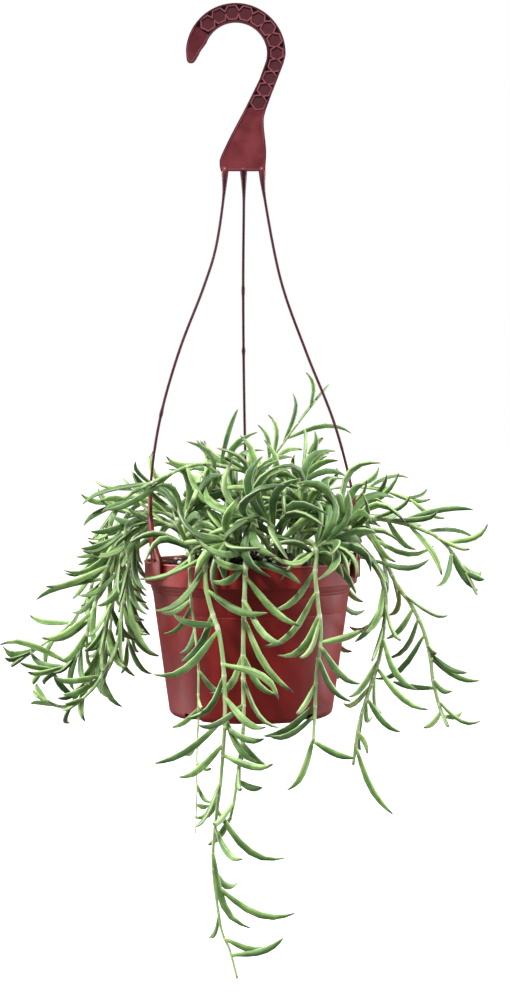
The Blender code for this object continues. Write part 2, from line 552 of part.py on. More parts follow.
def make_hanger(finish):
    """One moulding: a flat hook with a row of six-sided cells, three wires and their rim clips."""
    crown = Vector((0, 0, -CROWN_RADIUS * MM))
    bm = bmesh.new()
    half = HOOK_THICK * MM / 2
    corners = [bm.verts.new(crown + Vector((x * MM, -half, z * MM))) for x, z in hook_outline()]
    face = bm.faces.new(corners)
    grown = bmesh.ops.extrude_face_region(bm, geom=[face])
    moved = [v for v in grown["geom"] if isinstance(v, bmesh.types.BMVert)]
    bmesh.ops.translate(bm, verts=moved, vec=(0, 2 * half, 0))
    hanger = object_from(bm, "hanger", finish, 40)
    cells = []
    centres = arc(CELL_PATH, CELL_ANGLES[0], CELL_ANGLES[-1], len(CELL_ANGLES)) + list(CELL_SHANK)
    for number, (x, z) in enumerate(centres):
        bm = bmesh.new()
        bmesh.ops.create_cone(bm, cap_ends=True, segments=6, radius1=CELL_RADIUS * MM,
                              radius2=CELL_RADIUS * MM, depth=2 * CELL_DEPTH * MM)
        bmesh.ops.rotate(bm, verts=bm.verts, cent=(0, 0, 0), matrix=Matrix.Rotation(math.radians(90), 3, "X"))
        spin = Matrix.Rotation(-math.atan2(z, x), 3, "Y")
        bmesh.ops.rotate(bm, verts=bm.verts, cent=(0, 0, 0), matrix=spin)
        bmesh.ops.translate(bm, verts=bm.verts, vec=crown + Vector((x * MM, -half, z * MM)))
        cells.append(object_from(bm, "cell_%d" % number, None))
    boolean(hanger, "DIFFERENCE", cells)
    limbs = []
    for name, points in WIRES.items():
        path, _ = smooth_path(points, WIRE_STEP)
        below = points[0][2] - path[:, 2]
        top = np.clip(1 - (below - WIRE_TAPER_START) / WIRE_TAPER, 0, 1)
        foot = np.clip(1 - (path[:, 2] - points[-1][2]) / WIRE_FOOT, 0, 1)
        radii = WIRE_RADIUS + (WIRE_ROOT - WIRE_RADIUS) * (top + foot)
        limbs.append(tube("wire_" + name, path, radii, WIRE_SIDES))
        limbs.append(make_clip(name, CLIP_ANGLES[name]))
    boolean(hanger, "UNION", limbs)
    return hanger


def make_clip(name, azimuth):
    """A saddle that hooks over the rim: an inner and an outer flap joined across the top."""
    outline = [(CLIP_IN, -CLIP_INNER_DROP), (CLIP_IN, CLIP_TOP), (CLIP_OUT, CLIP_TOP),
               (CLIP_OUT, -CLIP_OUTER_DROP),
               (CLIP_OUT - CLIP_FLAP, -CLIP_OUTER_DROP), (CLIP_OUT - CLIP_FLAP, CLIP_OVER_RIM),
               (CLIP_IN + CLIP_FLAP, CLIP_OVER_RIM), (CLIP_IN + CLIP_FLAP, -CLIP_INNER_DROP)]
    half = math.degrees(CLIP_WIDTH / 2 / CLIP_OUT)
    bm = bmesh.new()
    slices = []
    for turn in (-half, 0, half):
        angle = math.radians(azimuth + turn)
        ring = [bm.verts.new(placed((r * math.sin(angle), -r * math.cos(angle), z))) for r, z in outline]
        slices.append(ring)
    for a, b in zip(slices, slices[1:]):
        for k in range(len(outline)):
            n = (k + 1) % len(outline)
            bm.faces.new((a[k], a[n], b[n], b[k]))
    bm.faces.new(slices[0][::-1])
    bm.faces.new(slices[-1])
    return object_from(bm, "clip_" + name, None)


class Leaf:
    """A sickle: a bowed line from the stem to the tip, broad in the plane that it bows in."""

    def __init__(self, base, along, tip, bow, width, roll=0.0):
        self.base = base
        self.chord = tip - base
        self.length = float(np.linalg.norm(self.chord))
        forward = unit(self.chord)
        aside = along - forward * along.dot(forward)
        if np.linalg.norm(aside) < 0.2:
            aside = np.array((0, 0, -1.0)) - forward * -forward[2]
        aside = unit(aside)
        self.bow = aside * bow * self.length
        self.across = aside * math.cos(roll) + np.cross(forward, aside) * math.sin(roll)
        self.width = width

    def point(self, u):
        return self.base + self.chord * u + self.bow * 3.0 * u ** 1.4 * (1 - u)

    def samples(self):
        """Points over the blade with the radius that each one covers."""
        found = []
        for u in np.linspace(0.06, 1.0, max(6, int(self.length / 2.4))):
            half = self.width / 2 * float(np.interp(u, (0, 0.34, 0.7, 1), (0.5, 1.0, 0.85, 0.1)))
            centre = self.point(u)
            for side in (-0.55, 0.0, 0.55):
                found.append((*(centre + self.across * half * side), max(0.7, half * 0.5)))
        return np.array(found)


class Space:
    """What already stands, as spheres kept by owner, and the pot, peat and hanger around it."""

    def __init__(self):
        self.balls = {}

    def add(self, owner, balls):
        self.balls.setdefault(owner, []).append(balls)

    def clear(self, owner, balls, own_base):
        x, y, z, radius = balls.T
        across = np.hypot(x, y)
        heights = np.array([soil_height(a, b) for a, b in zip(x, y)])
        inside = across < RIM_RADIUS - RIM_WALL - radius - SOIL_ROOM
        over_soil = z > heights + radius + SOIL_ROOM
        wall = np.where(z > -RIM_BAND - 2, RIM_RADIUS, outer_radius(-z))
        outside = across > wall + radius + POT_ROOM
        above = (z > radius + POT_ROOM) & over_soil
        below = z < -POT_HEIGHT - radius - POT_ROOM
        if not np.all((inside & over_soil) | outside | above | below):
            return False
        low = balls[:, :3].min(axis=0) - SEARCH_REACH
        high = balls[:, :3].max(axis=0) + SEARCH_REACH
        for other, groups in self.balls.items():
            margin = LEAF_GAP if other != owner else -OWN_OVERLAP
            for group in groups:
                if np.any(group[:, :3].min(axis=0) > high) or np.any(group[:, :3].max(axis=0) < low):
                    continue
                if other == owner:
                    far = np.linalg.norm(group[:, :3] - own_base, axis=1) > OWN_BASE_FREE
                    group = group[far]
                    if not len(group):
                        continue
                apart = np.linalg.norm(balls[:, None, :3] - group[None, :, :3], axis=2)
                if np.any(apart < balls[:, None, 3] + group[None, :, 3] + margin):
                    return False
        return True


def radii_along(stem, path):
    steps = np.linalg.norm(np.diff(path, axis=0), axis=1)
    run = np.concatenate([[0], np.cumsum(steps)])
    return stem["radius"][0] + (stem["radius"][1] - stem["radius"][0]) * run / run[-1], run


def grown_route(stem):
    """The stem's route, begun straight down in its hole."""
    first = np.array(stem["route"][0], float)
    root = first.copy()
    root[2] = soil_height(first[0], first[1]) - ROOT_DEPTH
    return (tuple(root), *stem["route"])


def place_leaves():
    """Sets each stem's leaves: the set ones, then the spiral ones that find clear room."""
    space = Space()
    for name, points in WIRES.items():
        path, _ = smooth_path(points, 3.0)
        space.add("hanger", np.column_stack([path, np.full(len(path), WIRE_RADIUS + WIRE_ROOM)]))
        angle = math.radians(CLIP_ANGLES[name])
        for radius in (72.2, 75.0, 77.4):
            ball = [[radius * math.sin(angle + t), -radius * math.cos(angle + t), z, CLIP_BALL]
                    for t in (-0.08, -0.04, 0, 0.04, 0.08) for z in (0.5, -3.0, -7.0)]
            space.add("hanger", np.array(ball))
    paths = {}
    for name, stem in STEMS.items():
        path, places = smooth_path(grown_route(stem), 2.0)
        radii, run = radii_along(stem, path)
        space.add(name, np.column_stack([path, radii]))
        paths[name] = (path, places - 1.0, run, directions(path))
    leaves = {name: [] for name in STEMS}
    for name, stem in STEMS.items():
        path, places, run, ahead = paths[name]
        for at, tip, bow in stem["leaves"]:
            i = int(np.argmin(abs(places - at)))
            leaf = Leaf(path[i], ahead[i], np.array(tip, float), bow, stem["width"])
            leaves[name].append((run[i], leaf))
            space.add(name, leaf.samples())
    for name, stem in STEMS.items():
        path, places, run, ahead = paths[name]
        draw = random.Random(name)
        reach = ROOT_DEPTH + stem["first"]
        count = 0
        while reach < run[-1] - 0.5:
            taken = any(abs(reach - where) < stem["pitch"] * TAKEN_NEAR for where, _ in leaves[name])
            turn = math.radians(GOLDEN_ANGLE * count + draw.uniform(-TURN_SPREAD, TURN_SPREAD))
            long = stem["length"][0] + (stem["length"][1] - stem["length"][0]) * reach / run[-1]
            long *= draw.uniform(*LENGTH_SPREAD)
            splay = math.radians(draw.uniform(*stem.get("splay", SPLAY)))
            bow = draw.uniform(*stem.get("bow", BOW))
            roll = math.radians(draw.uniform(-ROLL, ROLL))
            if not taken:
                i = int(np.argmin(abs(run - reach)))
                leaf = free_leaf(space, name, stem, path[i], ahead[i], turn, long, splay, bow, roll)
                if leaf:
                    leaves[name].append((run[i], leaf))
                    space.add(name, leaf.samples())
            reach += stem["pitch"] * draw.uniform(*PITCH_SPREAD)
            count += 1
    return leaves


def free_leaf(space, name, stem, base, along, turn, long, splay, bow, roll):
    """The first of the leaf's turns and lengths that stands clear of everything else."""
    side = unit(np.cross(along, (0.31, 0.2, 0.93)))
    other = np.cross(along, side)
    for share in TRY_LENGTHS:
        for more in TRY_TURNS:
            angle = turn + math.radians(more)
            radial = side * math.cos(angle) + other * math.sin(angle)
            aim = unit(along * math.cos(splay) + radial * math.sin(splay) + np.array((0, 0, LIFT)))
            width = stem["width"] * (0.7 + 0.3 * share)
            leaf = Leaf(base, along, base + aim * long * share, bow, width, roll)
            if space.clear(name, leaf.samples(), base):
                return leaf
    return None


def make_leaf(leaf, number):
    """A keeled blade: a flat upper side and one ridge below, closing to a point."""
    bm = bmesh.new()
    rings = []
    for u, share in zip(LEAF_STATIONS, LEAF_WIDTHS):
        centre = leaf.point(u)
        along = unit(leaf.point(u + 0.02) - leaf.point(u))
        if u == 0.0:
            centre = centre - along * LEAF_SINK
        keel = np.cross(leaf.across, along)
        half = leaf.width / 2 * share
        thick = max(1.0, leaf.width * LEAF_THICKNESS * share)
        ring = [centre + leaf.across * half - keel * thick * 0.4, centre + keel * thick * 0.6,
                centre - leaf.across * half - keel * thick * 0.4]
        rings.append([bm.verts.new(placed(p)) for p in ring])
    for low, high in zip(rings, rings[1:]):
        for k in range(3):
            n = (k + 1) % 3
            bm.faces.new((low[k], low[n], high[n], high[k]))
    tip = bm.verts.new(placed(leaf.point(1.0)))
    for k in range(3):
        bm.faces.new((rings[-1][k], rings[-1][(k + 1) % 3], tip))
    bm.faces.new(rings[0][::-1])
    bmesh.ops.triangulate(bm, faces=bm.faces)
    return object_from(bm, "leaf_%d" % number, None)


def make_stem(name, stem, leaves, finish):
    path, _ = smooth_path(grown_route(stem), RING_STEP)
    radii, _ = radii_along(stem, path)
    made = tube(name, path, radii, STEM_SIDES, finish)
    blades = [make_leaf(leaf, number) for number, (_, leaf) in enumerate(leaves)]
    boolean(made, "UNION", blades, "MANIFOLD")
    made.data.shade_smooth()
    made.data.set_sharp_from_angle(angle=math.radians(40))
    return made


def main():
    clear_scene()
    pot_red = material("pot_red", (0.26, 0.045, 0.036), 0.42)
    hanger_maroon = material("hanger_maroon", (0.16, 0.035, 0.04), 0.45)
    peat = material("peat", (0.025, 0.018, 0.012), 0.95)
    leaf_green = material("leaf_green", (0.18, 0.33, 0.14), 0.5)
    make_pot(pot_red)
    make_hanger(hanger_maroon)
    leaves = place_leaves()
    holes = []
    for stem in STEMS.values():
        path, _ = smooth_path(grown_route(stem), RING_STEP)
        _, run = radii_along(stem, path)
        near = path[run < HOLE_REACH]
        start = near[0] + unit(near[0] - near[1]) * HOLE_CLEARANCE
        holes.append((np.vstack([start, near[1:]]), stem["radius"][0]))
    make_soil(peat, holes)
    for name, stem in STEMS.items():
        make_stem(name, stem, leaves[name], leaf_green)
    print("leaves", sum(len(found) for found in leaves.values()))


main()
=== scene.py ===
import math
import random

import bmesh
import bpy
import numpy as np
from mathutils import Matrix, Vector, noise


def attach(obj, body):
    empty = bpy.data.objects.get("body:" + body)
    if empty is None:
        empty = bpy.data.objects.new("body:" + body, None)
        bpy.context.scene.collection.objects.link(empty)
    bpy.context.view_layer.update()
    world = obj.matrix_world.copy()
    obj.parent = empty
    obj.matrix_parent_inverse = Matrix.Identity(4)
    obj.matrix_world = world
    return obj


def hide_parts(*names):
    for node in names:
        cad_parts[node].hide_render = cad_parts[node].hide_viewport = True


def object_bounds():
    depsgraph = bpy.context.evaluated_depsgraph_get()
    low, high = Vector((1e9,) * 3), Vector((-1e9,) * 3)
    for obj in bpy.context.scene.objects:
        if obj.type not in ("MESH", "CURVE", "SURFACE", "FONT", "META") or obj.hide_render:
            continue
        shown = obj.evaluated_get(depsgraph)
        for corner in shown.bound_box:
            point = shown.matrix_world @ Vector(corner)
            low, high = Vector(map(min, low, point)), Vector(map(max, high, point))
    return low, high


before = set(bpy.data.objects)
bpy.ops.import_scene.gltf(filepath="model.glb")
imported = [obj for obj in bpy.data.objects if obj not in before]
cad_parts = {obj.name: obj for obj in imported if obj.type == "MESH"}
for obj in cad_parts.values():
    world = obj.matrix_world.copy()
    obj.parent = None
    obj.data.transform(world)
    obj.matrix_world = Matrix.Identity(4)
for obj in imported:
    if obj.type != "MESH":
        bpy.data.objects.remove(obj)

# String of fishhooks in its hanging pot. Sizes are in mm from the pot's rim centre unless a line
# says otherwise; place() turns them into metres under the hook's bearing point.
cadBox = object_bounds()
mm = 0.001

setting = {"potX": 10.6, "rimZ": -374.3}


def place(x, y, z):
    return Vector(((setting["potX"] + x) * mm, y * mm, (setting["rimZ"] + z) * mm))


def srgb(*screen):  # a screen colour as the linear one that shaders take
    return (*(((c / 255 + 0.055) / 1.055) ** 2.4 if c > 10 else c / 255 / 12.92 for c in screen), 1.0)


class Signal:  # an output socket that sums can be written with
    def __init__(self, finish, socket):
        self.finish, self.socket = finish, socket

    def __add__(self, other):
        return self.finish.maths("ADD", self, other)

    def __sub__(self, other):
        return self.finish.maths("SUBTRACT", self, other)

    def __mul__(self, other):
        return self.finish.maths("MULTIPLY", self, other)


class Finish:  # one material: its nodes, and the colour that has been painted so far
    def __init__(self, name, colour, **constants):
        self.material = bpy.data.materials.new(name)
        self.material.use_nodes = True
        self.tree = self.material.node_tree
        self.colour = colour
        for label, value in constants.items():
            self.inlet(label).default_value = value
        self.coords = self.node("ShaderNodeTexCoord", {}, {})["Object"]

    def inlet(self, label):  # base_color is the shader's Base Color, and so on
        shader = self.tree.nodes["Principled BSDF"]
        return shader.inputs[label.replace("_", " ").title().replace("Ior", "IOR")]

    def node(self, kind, settings, sockets):
        made = self.tree.nodes.new(kind)
        for label, value in settings.items():
            setattr(made, label, value)
        for label, value in sockets.items():
            if isinstance(value, Signal):
                self.tree.links.new(value.socket, made.inputs[label])
            else:
                made.inputs[label].default_value = value
        return {o.name: Signal(self, o) for o in made.outputs if o.enabled}

    def maths(self, operation, first, second):
        return self.node("ShaderNodeMath", {"operation": operation}, {0: first, 1: second})["Value"]

    def noise(self, size, detail, stretch=(1, 1, 1)):  # size is the blotch in mm
        moved = self.node("ShaderNodeMapping", {}, {"Vector": self.coords, "Scale": stretch})["Vector"]
        return self.node("ShaderNodeTexNoise", {}, {"Vector": moved, "Scale": 1000.0 / size,
                                                    "Detail": detail, "Roughness": 0.55})["Fac"]

    def spread(self, value, low, high, toLow=0.0, toHigh=1.0):  # eases from toLow to toHigh
        return self.node("ShaderNodeMapRange", {"interpolation_type": "SMOOTHSTEP"},
                         {"Value": value, "From Min": low, "From Max": high,
                          "To Min": toLow, "To Max": toHigh})["Result"]

    def mix(self, factor, first, second):
        sockets = {0: factor, 6: first, 7: second}
        return self.node("ShaderNodeMix", {"data_type": "RGBA"}, sockets)["Result"]

    def paint(self, factor, colour):  # over what is there
        self.colour = self.mix(factor, self.colour, colour)

    def attribute(self, name):
        return self.node("ShaderNodeAttribute", {"attribute_name": name}, {})["Fac"]

    def height(self):  # mm above the rim
        z = self.node("ShaderNodeSeparateXYZ", {}, {"Vector": self.coords})["Z"]
        return z * 1000.0 - setting["rimZ"]

    def bump(self, height, distance, strength):  # distance in mm
        sockets = {"Height": height, "Distance": distance * mm, "Strength": strength}
        return self.node("ShaderNodeBump", {}, sockets)["Normal"]

    def done(self, **values):
        for label, value in {"base_color": self.colour, **values}.items():
            self.tree.links.new(value.socket, self.inlet(label))
        return self.material


leafLook = {
    "shade": srgb(60, 94, 42), "mid": srgb(118, 158, 76), "light": srgb(172, 204, 124),
    # margin is a painted sheen: a pale colour along each leaf's edges
    "streak": srgb(62, 102, 50), "margin": srgb(208, 222, 168), "bloom": srgb(158, 190, 148),
    "root": srgb(160, 196, 100), "tipPink": srgb(180, 146, 114), "tipDark": srgb(62, 60, 58),
    "stem": srgb(134, 166, 98), "stemPale": srgb(176, 196, 142), "knuckle": srgb(206, 214, 182),
    "blotch": 14, "grain": 0.9, "streakShare": 0.62, "rough": (0.42, 0.62),
}


def leafFinish():
    look = leafLook
    finish = Finish("leafFlesh", look["shade"], sheen_weight=0.15, sheen_roughness=0.5,
                    specular_ior_level=0.45)
    along, edge, tone, stem = map(finish.attribute, ("along", "edge", "tone", "stem"))
    patches, grain = finish.noise(look["blotch"], 3), finish.noise(look["grain"], 2)
    finish.paint(finish.spread(tone * 0.7 + (patches - 0.5) * 1.4, -0.1, 0.75), look["mid"])
    finish.paint(finish.spread(tone * 0.5 + patches * 0.7, 0.62, 0.95), look["light"])
    streak = finish.spread(edge, 0.0, 0.55, 1.0, 0.0) * finish.spread(along, 0.1, 0.35)
    finish.paint(streak * look["streakShare"], look["streak"])
    # painted sheen: the leaves' edges are painted pale, as if catching the light
    margin = finish.spread(edge, 0.72, 1.0) * finish.spread(along, 0.0, 0.3, 0.1, 0.6)
    finish.paint(margin, look["margin"])
    finish.paint(finish.spread(grain * 0.5 + patches * 0.6, 0.5, 0.85, 0.0, 0.25), look["bloom"])
    finish.paint(finish.spread(along, 0.0, 0.16, 0.75, 0.0), look["root"])
    tip = finish.mix(finish.spread(tone, 0.35, 0.6), look["tipPink"], look["tipDark"])
    finish.paint(finish.spread(along + (tone - 0.5) * 0.1, 0.9, 1.0), tip)
    ribs = finish.noise(3.2, 2, (1, 1, 0.18))
    stalk = finish.mix(finish.spread(ribs, 0.35, 0.7), look["stem"], look["stemPale"])
    finish.paint(stem, finish.mix(finish.spread(tone, 0.5, 1.0), stalk, look["knuckle"]))
    return finish.done(roughness=finish.spread(patches + grain * 0.4, 0.4, 1.0, *look["rough"]),
                       normal=finish.bump(grain + patches * 2.0, 0.25, 0.35))


potLook = {"dark": srgb(112, 20, 20), "mid": srgb(138, 28, 27), "warm": srgb(160, 44, 34),
           # lip is a painted highlight: a pale band along the top of the rim
           "lip": srgb(200, 112, 100), "lipHighlightShare": 0.75, "dust": srgb(170, 110, 100),
           "dustShare": 0.16, "rough": (0.42, 0.56)}


def potFinish():
    look = potLook
    finish = Finish("potPlastic", look["dark"], specular_ior_level=0.3)
    cloud, grain = finish.noise(46, 3), finish.noise(0.7, 2)
    flow = finish.noise(9, 3, (1, 1, 0.12))  # runs down the wall
    finish.paint(finish.spread(cloud, 0.3, 0.72), look["mid"])
    finish.paint(finish.spread(flow, 0.5, 0.85, 0.0, 0.3), look["warm"])
    # painted highlight: the top of the rim is painted pale
    finish.paint(finish.spread(finish.height(), -1.5, -0.35) * look["lipHighlightShare"], look["lip"])
    dust = finish.spread(grain * 0.6 + cloud * 0.5, 0.62, 0.8)
    finish.paint(dust * look["dustShare"], look["dust"])
    return finish.done(roughness=finish.spread(cloud + flow * 0.4, 0.4, 0.95, *look["rough"]),
                       normal=finish.bump(flow * 2.0 + grain * 0.5, 0.12, 0.35))


# The pairs of heights are where a colour starts and where it is full.
hangerLook = {
    # ridge is a painted highlight for the raised cell walls and the inside of the plate's lip
    "dark": srgb(100, 34, 40), "mid": srgb(128, 48, 54), "ridge": srgb(150, 78, 88),
    # The next two colours are painted shade: for the plate's outer edge and cell floors, and darkest
    # for the pits.
    "paintedShade": srgb(84, 34, 42), "pit": srgb(60, 12, 26),
    "wire": srgb(54, 8, 26), "wireShare": 0.85, "wireHeights": (276.0, 262.0),
    "bend": srgb(82, 20, 36), "bendShare": 0.55, "bendHeights": (318.0, 345.0),
    "foot": srgb(122, 40, 34), "footHeights": (70.0, 12.0), "rough": (0.34, 0.5),
}


def hangerFinish():
    look = hangerLook
    finish = Finish("hangerPlastic", look["dark"], specular_ior_level=0.35)
    paintedHighlight, paintedShade = map(finish.attribute, ("paintedHighlight", "paintedShade"))
    cloud, grain = finish.noise(18, 3), finish.noise(0.6, 2)
    finish.paint(finish.spread(cloud, 0.3, 0.7), look["mid"])
    for part in ("wire", "bend", "foot"):
        share = finish.spread(finish.height(), *look[part + "Heights"])
        finish.paint(share * look.get(part + "Share", 1.0), look[part])
    # painted highlight: the raised cell walls and the inner edge of the plate's lip are painted a
    # lighter pink
    finish.paint(paintedHighlight * finish.spread(grain + cloud, 0.7, 1.2, 0.7, 1.0), look["ridge"])
    # painted shade: the plate's outer edge and the cell floors are painted darker, the pits darkest
    finish.paint(finish.spread(paintedShade, 0.0, 0.5), look["paintedShade"])
    finish.paint(finish.spread(paintedShade, 0.5, 1.0), look["pit"])
    return finish.done(roughness=finish.spread(cloud, 0.3, 0.7, *look["rough"]),
                       normal=finish.bump(grain, 0.1, 0.3))


peatLook = {"black": srgb(26, 20, 17), "brown": srgb(58, 44, 35), "fibre": srgb(96, 76, 58),
            "rough": (0.75, 1.0)}


def peatFinish():
    look = peatLook
    finish = Finish("peat", look["black"], specular_ior_level=0.3)
    clods, crumbs, fibre = finish.noise(7, 4), finish.noise(1.1, 3), finish.noise(2.4, 3, (1, 0.2, 1))
    finish.paint(finish.spread(clods, 0.3, 0.7), look["brown"])
    finish.paint(finish.spread(fibre, 0.6, 0.75, 0.0, 0.6), look["fibre"])
    return finish.done(roughness=finish.spread(crumbs, 0.3, 0.7, *look["rough"]),
                       normal=finish.bump(crumbs + clods, 1.2, 0.8))


# Two screen colours, the blotch in mm, the bump's depth in mm and the roughness.
plainLooks = {
    "crumbBrown": ((22, 17, 14), (66, 50, 40), 3, 0.5, 0.9),
    "perliteWhite": ((196, 192, 182), (238, 236, 230), 2, 0.4, 0.85),
    "fibreBrown": ((34, 24, 20), (74, 54, 42), 2, 0.3, 0.8),
    "floorPaint": ((246, 246, 245), (250, 250, 249), 900, 0.01, 0.8),
}


def plainFinish(name):
    dark, light, size, depth, rough = plainLooks[name]
    finish = Finish(name, srgb(*dark))
    blotch = finish.noise(size, 3)
    finish.paint(finish.spread(blotch, 0.3, 0.7), srgb(*light))
    return finish.done(roughness=finish.spread(blotch, 0.3, 0.7, rough - 0.08, rough + 0.08),
                       normal=finish.bump(blotch, depth, 0.5))


# The pot, its peat and its hanger come first, because the leaves keep clear of them.
potSize = {
    "rim": 75.0, "band": 15.5, "rimWall": 1.6, "lip": 1.0, "top": 70.5, "base": 58.5, "height": 108.5,
    "wall": 1.3, "floor": 1.8, "foot": 5.0, "steps": (19.2, 21.2), "stepIn": 0.45, "hairLine": 35.0,
    "drains": (45, 135, 225, 315), "drainWide": 15.0, "drainHigh": 5.3, "drainReach": 11.0,
    "drainRound": 1.2, "sides": 144, "sharp": 28,
}
soilSize = {"radius": 72.0, "edge": -9.0, "rise": 16.0, "bump": 1.1}
wireSize = {"radius": 1.0, "root": 2.5, "taper": 20.0, "taperStart": 4.0, "foot": 22.0, "step": 3.0,
            "sides": 14, "knuckle": 0.55, "knuckleLong": 1.8,
            "knuckles": {"left": (103,), "back": (190, 147), "right": ()}}
wires = {
    "left": ((-18.0, 0, 274), (-19.2, -3, 252), (-24.5, -8, 217), (-33.4, -14, 188), (-48.9, -22, 147),
             (-61.0, -28, 105), (-67.4, -33, 67), (-69.0, -38, 34), (-66.8, -40.6, 14),
             (-64.2, -41.0, 1.7)),
    "back": ((-5.2, 0, 274), (-5.0, 8, 252), (-5.6, 26, 194), (-5.2, 46, 127), (-4.0, 64, 61),
             (-2.6, 73.5, 20), (-2.3, 76.0, 1.7)),
    "right": ((7.6, 0, 274), (9.6, -2, 252), (20.8, -6, 195), (38.4, -10, 145), (57.0, -15, 98),
              (68.5, -19, 56), (73.3, -22.5, 26), (73.0, -23.6, 1.7)),
}
clip = {"angles": {"left": -57.5, "back": 181.7, "right": 72.0}, "width": 13.0, "inside": 71.1,
        "outside": 77.9, "flap": 1.7, "top": 2.1, "over": 0.4, "outerDrop": 10.5, "innerDrop": 4.5,
        "round": 0.3, "tabDeep": 2.6, "tabHalfWidths": ((46, 0.9), (34, 1.5), (20, 2.6), (12, 3.7),
                                                       (7, 4.9), (3.6, 6.0), (1.6, 6.3))}

# How far a leaf keeps off each thing; clip is the radius of the balls that stand for a clip. Within
# ownRoot of its base a leaf may meet its own stem and the leaves on it. Past that it may sink into
# them by own.
keepOff = {"pot": 0.6, "peat": 0.5, "underBand": 2, "wire": 0.8, "ownRoot": 9.0, "own": 0.6,
           "clip": 1.8, "clipRadii": (72.2, 75.0, 77.4), "clipHeights": (0.5, -3.0, -7.0),
           "clipTurns": (-0.08, -0.04, 0, 0.04, 0.08), "search": 6}

# How leaves are tried: those along each stem, then the extra ones in what room is left. Splay is in
# degrees from the stem, and roll in radians.
growth = {
    "root": 9.0, "golden": 137.5, "jitter": 22, "crowded": 0.4, "spacing": (0.85, 1.15),
    "endGap": 0.5, "lift": 0.12,
    "turns": (0, 42, -42, 85, -85, 130, -130, 175), "shorter": (1.0, 0.88, 0.76), "gap": 0.45,
    "longer": (0.95, 1.25), "splay": (34, 64), "bow": (0.15, 0.3), "roll": math.radians(40),
}
extras = {"gap": -0.4, "longer": (0.8, 1.15), "splay": (30, 65), "bow": (0.16, 0.32), "roll": 0.7,
          "first": 4, "firstMost": 30, "tries": 2}
form = {
    "pathStep": 2.0, "stemStep": 2.6, "stemSides": 10, "swell": 0.24, "swellLong": 1.7,
    "leafSides": 8, "stations": (0.0, 0.1, 0.26, 0.44, 0.62, 0.78, 0.9, 0.97, 1.0),
    "widths": (0.46, 0.6, 0.86, 1.0, 1.0, 0.86, 0.58, 0.3, 0.05), "thick": 0.56,
    "twist": 0.35, "curl": (-0.02, 0.1), "curlFrom": 0.72,
    "layers": ("along", "edge", "tone", "stem"),
}
slant = (0.31, 0.2, 0.93)  # a direction that no stem runs in

# What the stems of one kind share: their radius at root and tip, leaf length at root and tip, leaf
# width, how far leaves lean from the stem and bow, their spacing, where the first one sits, and how
# many extra ones thicken the stem between those that the solids carry.
habits = {
    "crown": dict(radius=(1.6, 1.0), length=(46, 40), width=5.6, splay=(52, 96), bow=(0.3, 0.6),
        pitch=8, first=6, extra=15, leaves=()),
    "stem_left": dict(radius=(1.6, 0.9), length=(42, 28), width=4.2, splay=(20, 48), pitch=14,
        first=40, extra=9, leaves=()),
    "stem_right": dict(radius=(1.8, 1.1), length=(44, 34), width=4.5, pitch=17, first=44, extra=5),
    "stem_front": dict(radius=(1.8, 0.9), length=(46, 24), width=4.8, pitch=15, first=44, extra=2),
    "stem_top": dict(radius=(1.2, 0.6), length=(30, 26), width=3.4, pitch=19.5, first=44, extra=4),
    "stem_back": dict(radius=(1.7, 1.0), length=(40, 28), width=4.5, pitch=22, first=26, extra=8,
        leaves=()),
}

